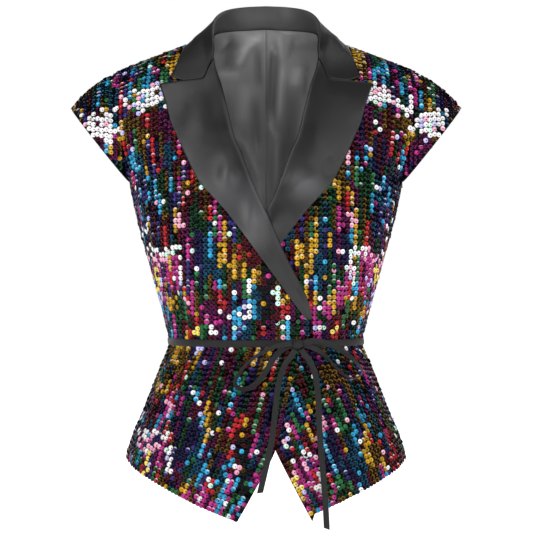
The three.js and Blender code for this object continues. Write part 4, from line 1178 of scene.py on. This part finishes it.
def cup_form(settings):
    """One cup sequin: an off-centre hole, a flat floor and a raised rim, with how much of the painted rim
    light each ring takes
    """
    radius = settings.diameter / MM / 2
    depth = settings.cup_depth / MM
    sides = settings.sides
    turn = 2 * math.pi * np.arange(sides) / sides
    circle = np.stack([np.cos(turn), np.sin(turn)], axis=1)
    hole = circle * (settings.hole / MM / 2) + np.array(HOLE_PLACE)
    rings = [(hole, HOLE_HEIGHT * depth, 0.0)]
    rings += [(circle * radius * ring["radius"], ring["height"] * depth, ring["rim"]) for ring in CUP_RINGS]
    points = np.vstack([np.column_stack([flat, np.full(sides, height)]) for flat, height, _ in rings])
    index = np.arange(len(points)).reshape(len(rings), sides)
    return points, faces_of(index, True), np.repeat([rim for _, _, rim in rings], sides)


def patch_weight(patch, s, z):
    """How much a spot lies in a patch"""
    far = ((s - patch["s"]) / patch["half_s"]) ** 2 + ((z - patch["z"]) / patch["half_z"]) ** 2
    return math.exp(-(far**1.6))


def strung_colours(across, heights, patches):
    """Finish numbers down one string: short runs of one hue, lit or shaded by painted light, and pale cups,
    painted glints, in their patches
    """
    colours = []
    left, leader = 0, None
    hue, bright = HUES[0], False
    for s, z in zip(across, heights):
        near = [(patch, patch_weight(patch, s, z)) for patch in patches]
        near = [(patch, weight) for patch, weight in near if weight > 0.02]
        dyed = [
            (patch, weight) for patch, weight in near
            if patch["hue"] not in FINISH_INDEX or patch["strength"] >= 1
        ]
        strongest = max(dyed, key=lambda pair: pair[0]["strength"] * pair[1], default=(None, 0))
        now = strongest[0] if strongest[1] > 0.35 else None
        if left <= 0 or now is not leader:
            left, leader = int(RANDOM.integers(*HUE_RUN)), now
            shares = np.array([one["share"] for one in HUES])
            lit, weighed = LIT_COPY_SHARE, 1.0
            for patch, weight in dyed:
                lit += patch["bright"] * weight * LIT_COPY_PULL
                weighed += weight * LIT_COPY_PULL
                for i, one in enumerate(HUES):
                    if one["name"] == patch["hue"]:
                        shares[i] += HUE_PULL * patch["strength"] * weight
            hue = HUES[int(RANDOM.choice(len(HUES), p=shares / shares.sum()))]
            # The run takes its hue's lit copy or its shaded copy: painted light and painted shade
            bright = RANDOM.random() < lit / weighed
        left -= 1
        name = hue["bright"] if bright != (RANDOM.random() < ODD_SHARE) else hue["deep"]
        # Patches of single cups: a pale cup is a painted glint, a black cup is painted shade
        single = [(patch, weight) for patch, weight in near if patch["strength"] < 1]
        for patch, weight in single:
            if RANDOM.random() < patch["strength"] * min(1, 1.4 * weight):
                name = patch["hue"]
                if name == "white" and RANDOM.random() < TINTED_GLINT_SHARE:
                    name = str(RANDOM.choice(("lavender", "pink", "mint")))
                break
        else:
            # A single pale cup anywhere: a painted glint
            if RANDOM.random() < SINGLE_GLINT_SHARE:
                name = str(RANDOM.choice(("white", "white", "white", "pink", "mint", "lavender")))
        colours.append(FINISH_INDEX[name])
    return colours


def arc_tables(face, levels):
    """Lengths round the body from its middle line at each level, and their angles"""
    angles = np.radians(np.linspace(0, 90, 181))
    points = form_point(angles[None, :], levels[:, None], face)
    steps = np.linalg.norm(np.diff(points, axis=1), axis=2)
    gone = np.concatenate([np.zeros((len(levels), 1)), np.cumsum(steps, axis=1)], axis=1)
    return angles, gone


def angles_for(lengths, angles, gone):
    """Signed angles for one length round the body at each level"""
    found = [np.interp(abs(a), row, angles) for a, row in zip(lengths, gone)]
    return np.sign(lengths) * np.array(found)


def lengths_for(found, angles, gone):
    """Signed lengths round the body for one angle at each level"""
    lengths = [np.interp(abs(a), angles, row) for a, row in zip(found, gone)]
    return np.sign(found) * np.array(lengths)


def covered_by_satin(s, z, angle, face):
    """Where the lapel or the collar's fall lies on the cloth"""
    turn = np.degrees(np.abs(angle)) if face > 0 else 180 - np.degrees(np.abs(angle))
    under_fall = (z > collar_tip_z(turn) + FALL_COVERS) & (turn < COLLAR[-1]["turn"])
    if face > 0:
        return under_fall
    low = z < LAPEL_COVERS_Z
    under_lapel = low & (z > LAPEL_END_Z) & (s < lapel_outer(z) - LAPEL_COVERS_EDGE)
    return under_fall | under_lapel | (~low & (s < PEAK_COVERS))


def panel_sequins(side, face, settings):
    """Strings of sequins on one front (face -1) or on half of the back (face 1)"""
    columns = Columns(settings, side, face)
    pitch = settings.column_pitch / MM
    levels = np.arange(*(FRONT_SPAN if face < 0 else BACK_SPAN), LEVEL_STEP)
    angles, gone = arc_tables(face, levels)
    outer = lengths_for(angle_at(side_at(levels), levels, face), angles, gone)
    above = levels > WAIST_Z
    below = ~above
    if face < 0:
        margin = settings.diameter / MM / 2 - 0.8
        edge = lengths_for(angle_at(EDGES[side](levels), levels, face), angles, gone)
        count = int(round(np.mean((outer - edge)[below]) / pitch))
        first, last = edge + margin + 0.3, outer - 3.2
        lower = [mix(first, last, number / (count - 1)) for number in range(count)]
    else:
        margin = settings.diameter / MM / 2 - 0.2
        edge = np.full(len(levels), -np.inf)
        count = int(round(np.mean(outer[below]) / pitch))
        lower = [(number + 0.5) / count * outer for number in range(count)]
    upper = [np.full(len(levels), (number + 0.5) * pitch) for number in range(-12 if face < 0 else 0, 48)]
    room = np.where(levels > UNDERARM_Z, ARMHOLE_ROOM, SIDE_ROOM)
    for part, lengths in [(above, line) for line in upper] + [(below, line) for line in lower]:
        angle = angles_for(lengths, angles, gone)
        s = form_point(angle, levels, face)[:, 0]
        if face < 0:
            hem = front_hem(s) + margin - 0.6
        else:
            hem = mix(BACK_HEM_Z, SIDE_HEM_Z, np.clip(np.abs(angle) / RIGHT_ANGLE, 0, 1) ** 2) + margin
        on_cloth = part & (lengths > edge + margin) & (lengths < outer - room)
        on_cloth &= (np.abs(levels - WAIST_Z) > BELT_BARE) & (levels > hem)
        on_cloth &= ~covered_by_satin(s, levels, angle, face)
        if face < 0 < side:
            on_cloth &= s > -right_edge(levels) - 14
        if on_cloth.sum() < 3:
            continue
        picked = np.flatnonzero(part & (lengths > edge - 1) & (lengths < outer + 1))
        z, signed = levels[picked], side * angle[picked]
        lift = lap_lift(side, side * s[picked], z) if face < 0 else 0
        line = place(signed, z, face, lift)
        ahead = place(signed + 0.01, z, face, lift) - place(signed - 0.01, z, face, lift)
        normal = unit(np.cross(ahead, np.gradient(line, axis=0)))
        normal = normal * np.sign(dot(normal, form_normal(signed, z, face)))
        columns.add(line, normal, on_cloth[picked])
    return columns


def sleeve_sequins(side, settings):
    """Strings of sequins on a cap sleeve, level with those of the body"""
    columns = Columns(settings, side, -1)
    outer, _, normals = sleeve_grids(side, 96, 40)
    rings, count = outer.shape[:2]
    across = np.abs(outer[..., 0])
    t = np.linspace(0, 1, rings)
    for plane in np.arange(*SLEEVE_SPAN, settings.column_pitch / MM * SLEEVE_CLOSER):
        found = np.full(count, np.nan)
        for i in range(count):
            run = across[:, i]
            if run.min() < plane < run.max():
                found[i] = np.interp(plane, run, t) if run[-1] > run[0] else np.nan
        good = ~np.isnan(found)
        if good.sum() < 4:
            continue
        start = int(np.flatnonzero(~good)[0]) if (~good).any() else count // 2
        order = np.roll(np.arange(count), -start)
        order = [i for i in order if good[i]]
        share = found[order] * (rings - 1)
        low = np.clip(share.astype(int), 0, rings - 2)
        part = (share - low)[:, None]
        line = mix(outer[low, order], outer[low + 1, order], part)
        normal = mix(normals[low, order], normals[low + 1, order], part)
        reach = np.linalg.norm(outer[-1] - outer[0], axis=1)[order]
        inside = found[order] * reach > SLEEVE_SEAM_ROOM
        inside &= (1 - found[order]) * reach > SLEEVE_HEM_ROOM
        breaks = np.linalg.norm(np.diff(line, axis=0), axis=1) > SLEEVE_BREAK
        for run in np.split(np.arange(len(order)), np.flatnonzero(breaks) + 1):
            if len(run) > 4:
                columns.add(line[run], normal[run], inside[run])
    return columns


# Materials


class Wire:
    """A shader socket that takes part in plain arithmetic"""

    def __init__(self, finish, socket):
        self.finish = finish
        self.socket = socket

    def __add__(self, other):
        return self.finish.node("ShaderNodeMath", {0: self, 1: other}, operation="ADD")

    def __mul__(self, other):
        return self.finish.node("ShaderNodeMath", {0: self, 1: other}, operation="MULTIPLY")

    __radd__ = __add__
    __rmul__ = __mul__


class Finish:
    """One material, built up from nodes"""

    def __init__(self, name, **constants):
        self.material = bpy.data.materials.new(name)
        self.material.use_nodes = True
        self.tree = self.material.node_tree
        self.tree.nodes.clear()
        self.body = self.tree.nodes.new("ShaderNodeBsdfPrincipled")
        end = self.tree.nodes.new("ShaderNodeOutputMaterial")
        self.tree.links.new(self.body.outputs["BSDF"], end.inputs["Surface"])
        for label, value in constants.items():
            self.body.inputs[label.replace("_", " ").title().replace("Ior", "IOR")].default_value = value
        self.place = self.node("ShaderNodeTexCoord", output="Object")

    def node(self, kind, inputs=None, output=0, stops=None, **settings):
        """Adds a node of any kind, its settings first and then its sockets"""
        made = self.tree.nodes.new(kind)
        for key, value in settings.items():
            setattr(made, key, value)
        if stops:
            for element, (position, level) in zip(made.color_ramp.elements, stops):
                element.position = position
                element.color = (level, level, level, 1)
        for key, value in (inputs or {}).items():
            self.feed(made.inputs[key], value)
        return Wire(self, made.outputs[output])

    def feed(self, socket, value):
        """Links a wire to a socket, or sets the socket's own value"""
        if isinstance(value, Wire):
            self.tree.links.new(value.socket, socket)
        else:
            socket.default_value = value

    def colour(self, factor, first, second):
        """A colour between two, by a factor"""
        made = self.tree.nodes.new("ShaderNodeMix")
        made.data_type = "RGBA"
        sockets = {socket.identifier: socket for socket in made.inputs}
        self.feed(sockets["Factor_Float"], factor)
        for label, value in (("A_Color", first), ("B_Color", second)):
            self.feed(sockets[label], value if isinstance(value, Wire) else (*value, 1))
        result = next(s for s in made.outputs if s.identifier == "Result_Color")
        return Wire(self, result)

    def stretched(self, scale):
        """Places scaled by a different number along each axis"""
        return self.node("ShaderNodeVectorMath", {0: self.place, 1: scale}, operation="MULTIPLY")

    def noise(self, scale, detail, vector=None):
        """Soft noise from 0 to 1"""
        vector = vector or self.place
        return self.node("ShaderNodeTexNoise", {"Vector": vector, "Scale": scale, "Detail": detail})

    def stored(self, name):
        """The number that each point holds under a name"""
        return self.node("ShaderNodeAttribute", output="Fac", attribute_name=name)

    def weave(self, scale, direction):
        """Fine ridges of thread from 0 to 1"""
        inputs = {"Vector": self.place, "Scale": scale, "Distortion": 1.2, "Detail": 1.0}
        return self.node("ShaderNodeTexWave", inputs, output="Fac", bands_direction=direction)

    def bump(self, height, strength, distance):
        """Feeds the surface's normal from a height"""
        inputs = {"Height": height, "Strength": strength, "Distance": distance}
        self.set("Normal", self.node("ShaderNodeBump", inputs))

    def set(self, label, value):
        """Feeds one of the surface's sockets"""
        self.feed(self.body.inputs[label], value)


def scaled(colour, amount):
    """A colour, lighter or darker"""
    return tuple(min(1.0, channel * amount) for channel in colour)


def satin_finish(name, colour, roughness, gloss, streaks, sheen_paint_levels):
    """Satin: a smooth warp face with fine threads, soft streaks, a low shine and a painted sheen, lighter
    where its points store more
    """
    finish = Finish(name, roughness=roughness, specular_ior_level=gloss, sheen_weight=0.03,
                    sheen_roughness=0.35, anisotropic=0.35)
    streak = finish.noise(1.0, 3.0, finish.stretched(streaks))
    cloud = finish.noise(14.0, 2.0)
    deep, pale = (
        finish.colour(streak, scaled(colour, 0.8 * level), scaled(colour, 1.22 * level)) for level in sheen_paint_levels
    )
    # Painted sheen: the colour runs from darker to lighter by the sheen stored at each point
    finish.set("Base Color", finish.colour(finish.stored("tone"), deep, pale))
    finish.set("Roughness", roughness - 0.05 + streak * 0.06 + cloud * 0.06)
    threads = finish.weave(900.0, "DIAGONAL") * 0.4 + finish.noise(700.0, 1.0) * 0.35
    finish.bump(threads + cloud * 3.0, 0.25, 0.0004)
    return finish.material


def ribbon_finish(name, colour):
    """Ribbon: matte, with a fine rib across it and a soft random mottle, lighter and darker"""
    finish = Finish(name, roughness=0.62, specular_ior_level=0.25, sheen_weight=0.06)
    ribs = finish.weave(620.0, "Z")
    cloud = finish.noise(60.0, 3.0)
    mottle = cloud * 0.7 + ribs * 0.2
    finish.set("Base Color", finish.colour(mottle, scaled(colour, 0.72), scaled(colour, 1.35)))
    finish.set("Roughness", 0.55 + cloud * 0.14)
    finish.bump(ribs + cloud, 0.35, 0.0003)
    return finish.material


def net_finish(name, colour):
    """The net that the sequins are sewn to: matte black threads with faint coloured thread"""
    finish = Finish(name, roughness=0.8, specular_ior_level=0.06)
    threads = finish.weave(420.0, "X") * 0.5 + finish.weave(420.0, "Z") * 0.5
    cloud = finish.noise(220.0, 2.0)
    finish.set("Base Color", finish.colour(threads * cloud, scaled(colour, 0.5), scaled(colour, 2.2)))
    finish.set("Roughness", 0.7 + cloud * 0.2)
    finish.bump(threads, 0.5, 0.0004)
    return finish.material


def sequin_finish(name, colour, shine):
    """Lacquered metal foil, a little uneven from cup to cup, with painted shade on the floor of the cup, a
    painted lit rim, and on some cups a painted pale crescent as a highlight
    """
    metallic, rough, coat, middle, edge = SHINES[shine]
    finish = Finish("sequin_" + name, roughness=rough, metallic=metallic, coat_weight=coat,
                    coat_roughness=0.1, specular_ior_level=0.3)
    uneven = finish.noise(150.0, 1.0)
    spread = finish.node("ShaderNodeMapRange", {"Value": uneven, 1: 0.3, 2: 0.7, 3: 0.0, 4: 1.0})
    darker, lighter = (0.92, 1.05) if shine == "pale" else (0.5, 1.4)
    dark, light = scaled(colour, darker), scaled(colour, lighter)
    inside, outside = (
        finish.colour(spread, scaled(dark, level), scaled(light, level)) for level in (middle, edge)
    )
    # Painted shade on the cup's floor and a painted lit rim
    foil = finish.colour(finish.stored("rim"), inside, outside)
    # A painted highlight: the pale crescent at the top of some cups
    if shine != "deep":
        pale = tuple(0.35 * channel + 0.6 for channel in colour)
        foil = finish.colour(finish.stored("painted_crescent"), foil, pale)
    finish.set("Base Color", foil)
    finish.set("Roughness", rough - 0.08 + uneven * 0.2)
    return finish.material


MATERIALS = {}


def material(name):
    """A named finish, made the first time that it is asked for"""
    scene = bpy.context.scene
    satin = scene.waistcoat_satin
    # The collar's inside band: the same satin painted lighter, painted light where the stand faces forward
    # into the lamps
    band = scaled(satin.lining_colour, 0.29)
    makers = {
        # The last pair of each satin is how dark and how light its painted sheen runs
        "satin": (satin_finish, satin.satin_colour, 0.34, 0.42, (30.0, 30.0, 7.0), (0.8, 8.5)),
        "lining": (satin_finish, satin.lining_colour, 0.36, 0.5, (45.0, 45.0, 5.0), (0.5, 1.9)),
        "collar_band": (satin_finish, band, 0.42, 0.4, (30.0, 30.0, 7.0), (1.0, 1.0)),
        "ribbon": (ribbon_finish, scene.waistcoat_ribbon.ribbon_colour),
        "sequin_net": (net_finish, scene.waistcoat_cloth.net_colour),
    }
    if name not in MATERIALS:
        maker, *look = makers[name]
        MATERIALS[name] = maker(name, *look)
    return MATERIALS[name]


def sequin_materials():
    """The sequins' finishes, in the order of their table"""
    if "sequins" not in MATERIALS:
        MATERIALS["sequins"] = [sequin_finish(**one) for one in SEQUIN_FINISHES]
    return MATERIALS["sequins"]


def tone_points(piece, tone):
    """Stores the painted sheen's lightness from 0 to 1 at each point, from its place in mm"""
    places = np.empty(len(piece.data.vertices) * 3)
    piece.data.vertices.foreach_get("co", places)
    x, _, z = places.reshape(-1, 3).T / MM
    point_layer(piece, "tone", np.clip(tone(x, z), 0, 1))


def settle(piece, slot, *nodes):
    """Rides on the body and stands for its solids; its slot is not used"""
    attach(piece, "root")
    if nodes:
        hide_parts(*nodes)
    return piece


# Settings


class WaistcoatClothSettings(bpy.types.PropertyGroup):
    """The sequinned cloth's ground"""

    net_colour: FloatVectorProperty(
        name="Net colour", description="Colour of the net under the sequins",
        subtype="COLOR", size=3, min=0, max=1, default=(0.0025, 0.0025, 0.003),
    )
    panel_columns: IntProperty(
        name="Front columns", description="Columns of the mesh across one front",
        default=72, min=16, max=160,
    )
    panel_rows: IntProperty(
        name="Panel rows", description="Rows of the mesh from shoulder to hem",
        default=93, min=31, max=310,
    )


class WaistcoatSequinSettings(bpy.types.PropertyGroup):
    """The strung sequins"""

    diameter: FloatProperty(
        name="Diameter", description="Width of one cup", default=0.0073, unit="LENGTH",
    )
    cup_depth: FloatProperty(
        name="Cup depth", description="Height of a cup's rim over its floor",
        default=0.001, unit="LENGTH",
    )
    hole: FloatProperty(
        name="Hole", description="Width of the hole that the thread goes through",
        default=0.0018, unit="LENGTH",
    )
    row_pitch: FloatProperty(
        name="Pitch down a string", description="Distance between the cups of one string",
        default=0.0072, unit="LENGTH",
    )
    column_pitch: FloatProperty(
        name="Pitch of the strings", description="Distance between neighbouring strings",
        default=0.0064, unit="LENGTH",
    )
    tilt_degrees: FloatProperty(
        name="Unevenness", description="How far single cups tilt, in degrees", default=6.0,
    )
    loose_share: FloatProperty(
        name="Loose cups", description="Share of the cups that hang loose and catch the light",
        default=0.14, min=0, max=1,
    )
    crescent_share: FloatProperty(
        name="Lit rims", description="Share of the bright sequins with a pale crescent at the top",
        default=0.3, min=0, max=1, subtype="FACTOR",
    )
    sides: IntProperty(name="Sides", description="Corners of one cup", default=9, min=6, max=16)


class WaistcoatSatinSettings(bpy.types.PropertyGroup):
    """Satin of the collar and lapels, and the lining"""

    satin_colour: FloatVectorProperty(
        name="Satin colour", description="Colour of the collar and lapels",
        subtype="COLOR", size=3, min=0, max=1, default=(0.007, 0.007, 0.0074),
    )
    lining_colour: FloatVectorProperty(
        name="Lining colour", description="Colour of the lining",
        subtype="COLOR", size=3, min=0, max=1, default=(0.175, 0.175, 0.178),
    )


class WaistcoatRibbonSettings(bpy.types.PropertyGroup):
    """The belt, its bow and its tails"""

    ribbon_colour: FloatVectorProperty(
        name="Ribbon colour", description="Colour of the belt and its bow",
        subtype="COLOR", size=3, min=0, max=1, default=(0.012, 0.0122, 0.013),
    )
    tail_cut: FloatProperty(
        name="Slant of the tail's end", description="How far the cut end leans",
        default=0.0015, unit="LENGTH",
    )


class WaistcoatStageSettings(bpy.types.PropertyGroup):
    """Camera, lights and backdrop"""

    camera_distance: FloatProperty(
        name="Camera distance", description="From the camera to the side plane",
        default=2.6, unit="LENGTH",
    )
    focal_length: FloatProperty(
        name="Focal length", description="Of the camera's lens, in millimetres", default=124.6,
    )
    key_power: FloatProperty(name="Key light", description="Power of the key light", default=16.0)
    fill_power: FloatProperty(name="Fill light", description="Power of each fill light", default=16.0)
    front_power: FloatProperty(name="Front light", description="Power of each front light", default=22.0)


# Operators


# Where the camera stands, and the stage, in metres
CAMERA_X = 0.0007
CAMERA_Z = -0.3236
FLOOR_Z = -0.72
FLOOR_RADIUS = 8.5
BACKDROP_Z = -0.3
BACKDROP_RADIUS = 9.0
STUDIO_GLOW = 0.13


def look_at(item, target):
    """Turns a light or camera towards a point"""
    item.rotation_euler = (Vector(target) - item.location).to_track_quat("-Z", "Y").to_euler()


class WAISTCOAT_OT_stage(bpy.types.Operator):
    """Camera, pale floor, backdrop and soft lights"""

    bl_idname = "waistcoat.stage"
    bl_label = "Stage"

    def execute(self, context):
        settings = context.scene.waistcoat_stage
        lens = bpy.data.cameras.new("camera")
        lens.sensor_width = 36
        lens.lens = settings.focal_length
        camera = link("camera", lens)
        camera.location = (CAMERA_X, -settings.camera_distance, CAMERA_Z)
        camera.rotation_euler = (RIGHT_ANGLE, 0, 0)
        context.scene.camera = camera
        lights = table(
            "name place size power target",
            ("key", (-1.5, -1.8, 0.8), 0.7, settings.key_power * 0.8, (0, 0, -0.3)),
            ("fill", (1.5, -1.8, 0.4), 1.1, settings.fill_power, (0, 0, -0.35)),
            ("front", (0.35, -2.7, 0.55), 0.7, settings.front_power * 0.55, (0, 0, -0.3)),
            ("low_fill", (-0.3, -2.3, -1.1), 0.7, settings.front_power * 2.2, (0, 0, -0.3)),
            ("neck", (-1.0, -1.3, 0.95), 0.3, settings.key_power * 0.35, (0, 0, -0.1)),
            ("back_left", (1.3, 1.8, 0.8), 1.2, settings.key_power * 0.7, (0, 0, -0.3)),
            ("back_right", (-1.5, 1.7, 0.3), 1.3, settings.fill_power, (0, 0, -0.3)),
            ("over", (0.1, -0.1, 1.8), 1.0, settings.fill_power * 0.45, (0, 0, -0.2)),
        )
        for row in lights:
            data = bpy.data.lights.new(row["name"], "AREA")
            data.shape = "SQUARE"
            data.size = row["size"]
            data.energy = row["power"]
            light = link(row["name"], data)
            light.location = row["place"]
            look_at(light, row["target"])
        world = bpy.data.worlds.new("studio")
        world.use_nodes = True
        ground = world.node_tree.nodes["Background"]
        ground.inputs["Color"].default_value = (1, 1, 1, 1)
        ground.inputs["Strength"].default_value = STUDIO_GLOW
        context.scene.world = world
        context.scene.view_settings.view_transform = "Standard"
        context.scene.view_settings.look = "None"
        white = {"specular_ior_level": 0.0, "emission_color": (1, 1, 1, 1), "emission_strength": 1.0}
        finish = Finish("backdrop", base_color=(0, 0, 0, 1), **white)
        dome = self.stand("backdrop", BACKDROP_Z, finish, bmesh.ops.create_uvsphere,
                          u_segments=48, v_segments=24, radius=BACKDROP_RADIUS)
        for ray in ("diffuse", "glossy", "transmission", "volume_scatter", "shadow"):
            setattr(dome, "visible_" + ray, False)
        finish = Finish("floor", roughness=0.9, **white)
        finish.set("Base Color", finish.colour(finish.noise(1.5, 2.0), (0.78,) * 3, (0.82,) * 3))
        self.stand("floor", FLOOR_Z, finish, bmesh.ops.create_circle,
                   cap_ends=True, segments=96, radius=FLOOR_RADIUS)
        return {"FINISHED"}

    def stand(self, name, height, finish, shape, **sizes):
        """A pale form round or under the object, which isn't part of it"""
        mesh = bpy.data.meshes.new(name)
        work = bmesh.new()
        shape(work, **sizes)
        work.to_mesh(mesh)
        work.free()
        mesh.materials.append(finish.material)
        made = link(name, mesh)
        made.location = (0, 0, height)
        return made


class WAISTCOAT_OT_tails(bpy.types.Operator):
    """The two free tails of the belt"""

    bl_idname = "waistcoat.tails"
    bl_label = "Belt tails"

    def execute(self, context):
        settings = context.scene.waistcoat_ribbon
        for (side, hand), rows in zip(HANDS, (RIGHT_TAIL, LEFT_TAIL)):
            centre = tail_route(rows)
            grids = tail_grids(centre, -side * settings.tail_cut / MM)
            tail = shell("ribbon_tie_tail_" + hand, *grids, [material("ribbon")])
            settle(tail, "ribbon", "tie_tail_" + hand)
        return {"FINISHED"}


class WAISTCOAT_OT_fronts(bpy.types.Operator):
    """Both sequinned fronts, lined on their inner faces"""

    bl_idname = "waistcoat.fronts"
    bl_label = "Fronts"

    def execute(self, context):
        settings = context.scene.waistcoat_cloth
        columns, rows = settings.panel_columns, settings.panel_rows
        faces = [material("sequin_net"), material("lining")]
        for (side, hand), area in zip(HANDS, (0.150, 0.145)):
            grids = [front_grid(side, columns, rows, offset) for offset in (0, -PANEL)]
            front = shell("cloth_front_" + hand, *grids, faces)
            settle(front, "sequin_cloth", "front_" + hand)
        return {"FINISHED"}


class WAISTCOAT_OT_back(bpy.types.Operator):
    """The sequinned back"""

    bl_idname = "waistcoat.back"
    bl_label = "Back"

    def execute(self, context):
        settings = context.scene.waistcoat_cloth
        columns, rows = settings.panel_columns, settings.panel_rows
        grids = [back_grid(columns, rows, offset) for offset in (0, -PANEL)]
        back = shell("cloth_back", *grids, [material("sequin_net")])
        settle(back, "sequin_cloth", "back")
        return {"FINISHED"}


class WAISTCOAT_OT_sleeves(bpy.types.Operator):
    """The two sequinned cap sleeves"""

    bl_idname = "waistcoat.sleeves"
    bl_label = "Cap sleeves"

    def execute(self, context):
        faces = [material("sequin_net"), material("lining")]
        for side, hand in HANDS:
            outer, inner, _ = sleeve_grids(side)
            sleeve = shell("cloth_sleeve_" + hand, outer, inner, faces, ring=True)
            settle(sleeve, "sequin_cloth", "sleeve_" + hand)
        return {"FINISHED"}


class WAISTCOAT_OT_sequins(bpy.types.Operator):
    """Every sequin of the fronts, the back and the sleeves"""

    bl_idname = "waistcoat.sequins"
    bl_label = "Sequins"

    def execute(self, context):
        settings = context.scene.waistcoat_sequins
        strung = {
            "front": lambda side: panel_sequins(side, -1, settings),
            "back": lambda side: panel_sequins(side, 1, settings),
            "sleeve": lambda side: sleeve_sequins(side, settings),
        }
        for panel, string in strung.items():
            for side, hand in HANDS:
                settle(string(side).mesh("sequins_%s_%s" % (panel, hand)), "sequin_cloth")
        return {"FINISHED"}


class WAISTCOAT_OT_lining(bpy.types.Operator):
    """The two halves of the back lining"""

    bl_idname = "waistcoat.lining"
    bl_label = "Back lining"

    def execute(self, context):
        rows = context.scene.waistcoat_cloth.panel_rows
        for side, hand in HANDS:
            grids = [lining_grid(side, rows, thickness) for thickness in (0, LINING)]
            lining = shell("satin_lining_back_" + hand, *grids, [material("lining")])
            # Painted sheen and painted shade on the lining's folds
            tone_points(lining, lining_tone)
            settle(lining, "lining", "lining_back_" + hand)
        return {"FINISHED"}


class WAISTCOAT_OT_lapels(bpy.types.Operator):
    """The two satin lapels"""

    bl_idname = "waistcoat.lapels"
    bl_label = "Lapels"

    def execute(self, context):
        face_steps = [(-1.4, -2.7), (0.6, -2.9), (2.2, -1.9), (LAY + SATIN, 0)]
        under_steps = [(-1.4, -1.0), (0.4, -1.1), (1.0, -0.4), (LAY, 0)]
        for side, hand in HANDS:
            face = lapel_grid(side, face_steps, LAY + SATIN)
            under = lapel_grid(side, under_steps, LAY)
            lapel = shell("satin_lapel_" + hand, face, under, [material("satin")])
            # Painted sheen on the lapel
            tone_points(lapel, lambda x, z: lapel_tone(side, side * x, z))
            settle(lapel, "satin", "lapel_" + hand)
        return {"FINISHED"}


class WAISTCOAT_OT_collar(bpy.types.Operator):
    """The satin collar, its stand and its fall"""

    bl_idname = "waistcoat.collar"
    bl_label = "Collar"

    def execute(self, context):
        face, under = (mirrored_pair(half) for half in collar_grids())
        collar = shell("satin_collar", face, under, [material("satin")])
        collar.data.materials.append(material("collar_band"))
        # Faces inside the stand above the neck take the lighter copy of the satin: painted light
        for polygon in collar.data.polygons:
            inward = -(polygon.normal.x * polygon.center.x + polygon.normal.y * polygon.center.y)
            if inward > 0.35 * polygon.center.xy.length and polygon.center.z > 0:
                polygon.material_index = len(collar.data.materials) - 1
        settle(collar, "satin", "collar")
        return {"FINISHED"}


class WAISTCOAT_OT_belt(bpy.types.Operator):
    """The ribbon belt round the waist"""

    bl_idname = "waistcoat.belt"
    bl_label = "Belt"

    def execute(self, context):
        belt = shell("ribbon_belt", *belt_grids(), [material("ribbon")], ring=True)
        settle(belt, "ribbon", "belt")
        return {"FINISHED"}


class WAISTCOAT_OT_bow(bpy.types.Operator):
    """The knot and the two loops of the bow"""

    bl_idname = "waistcoat.bow"
    bl_label = "Bow"

    def execute(self, context):
        for (_, hand), rows in zip(HANDS, (RIGHT_LOOP, LEFT_LOOP)):
            loop = shell("ribbon_bow_loop_" + hand, *loop_grids(rows), [material("ribbon")])
            settle(loop, "ribbon", "bow_loop_" + hand)
        along = np.linspace(0, math.pi, 41)[:, None]
        turn = np.linspace(0, 2 * math.pi, 48, endpoint=False)[None, :]
        swell = np.sin(along) ** 0.7
        folds = 1 + 0.07 * np.cos(along * 9 + 1.2 * np.sin(turn)) * np.sin(along)
        half = KNOT_HALF
        points = vectors(
            -np.cos(along) * half[0] + 0 * turn,
            half[1] * swell * folds * np.cos(turn),
            half[2] * swell * folds * np.sin(turn) - np.cos(along) * 1.2,
        ) + np.array(KNOT_CENTRE)
        index = np.arange(points.shape[0] * points.shape[1]).reshape(points.shape[:2])
        faces = faces_of(index, True)
        kinds = np.zeros(len(faces))
        knot = piece_from("ribbon_belt_knot", points.reshape(-1, 3), faces, kinds, [material("ribbon")])
        settle(turned_outward(knot), "ribbon", "belt_knot")
        return {"FINISHED"}


class WAISTCOAT_PT_panel(bpy.types.Panel):
    """Lists the waistcoat's pieces and their settings"""

    bl_idname = "WAISTCOAT_PT_panel"
    bl_label = "Waistcoat"
    bl_space_type = "VIEW_3D"
    bl_region_type = "UI"
    bl_category = "Waistcoat"

    def draw(self, context):
        for settings in SETTINGS:
            box = self.layout.box()
            group = getattr(context.scene, settings)
            for name in group.__annotations__:
                box.prop(group, name)
        for operator in OPERATORS:
            self.layout.operator(operator.bl_idname)


SETTINGS = {
    "waistcoat_cloth": WaistcoatClothSettings,
    "waistcoat_sequins": WaistcoatSequinSettings,
    "waistcoat_satin": WaistcoatSatinSettings,
    "waistcoat_ribbon": WaistcoatRibbonSettings,
    "waistcoat_stage": WaistcoatStageSettings,
}
OPERATORS = (
    WAISTCOAT_OT_stage,
    WAISTCOAT_OT_tails,
    WAISTCOAT_OT_fronts,
    WAISTCOAT_OT_back,
    WAISTCOAT_OT_sleeves,
    WAISTCOAT_OT_collar,
    WAISTCOAT_OT_lapels,
    WAISTCOAT_OT_lining,
    WAISTCOAT_OT_belt,
    WAISTCOAT_OT_bow,
    WAISTCOAT_OT_sequins,
)


def register():
    """Adds the settings, the operators and the panel"""
    for settings in SETTINGS.values():
        bpy.utils.register_class(settings)
    for operator in OPERATORS:
        bpy.utils.register_class(operator)
    bpy.utils.register_class(WAISTCOAT_PT_panel)
    for name, settings in SETTINGS.items():
        setattr(bpy.types.Scene, name, PointerProperty(type=settings))


def unregister():
    """Takes them away again"""
    for name in SETTINGS:
        delattr(bpy.types.Scene, name)
    bpy.utils.unregister_class(WAISTCOAT_PT_panel)
    for operator in reversed(OPERATORS):
        bpy.utils.unregister_class(operator)
    for settings in reversed(SETTINGS.values()):
        bpy.utils.unregister_class(settings)


def main():
    """Builds every piece in order"""
    register()
    for operator in OPERATORS:
        group, name = operator.bl_idname.split(".")
        getattr(getattr(bpy.ops, group), name)()


if __name__ == "__main__":
    main()
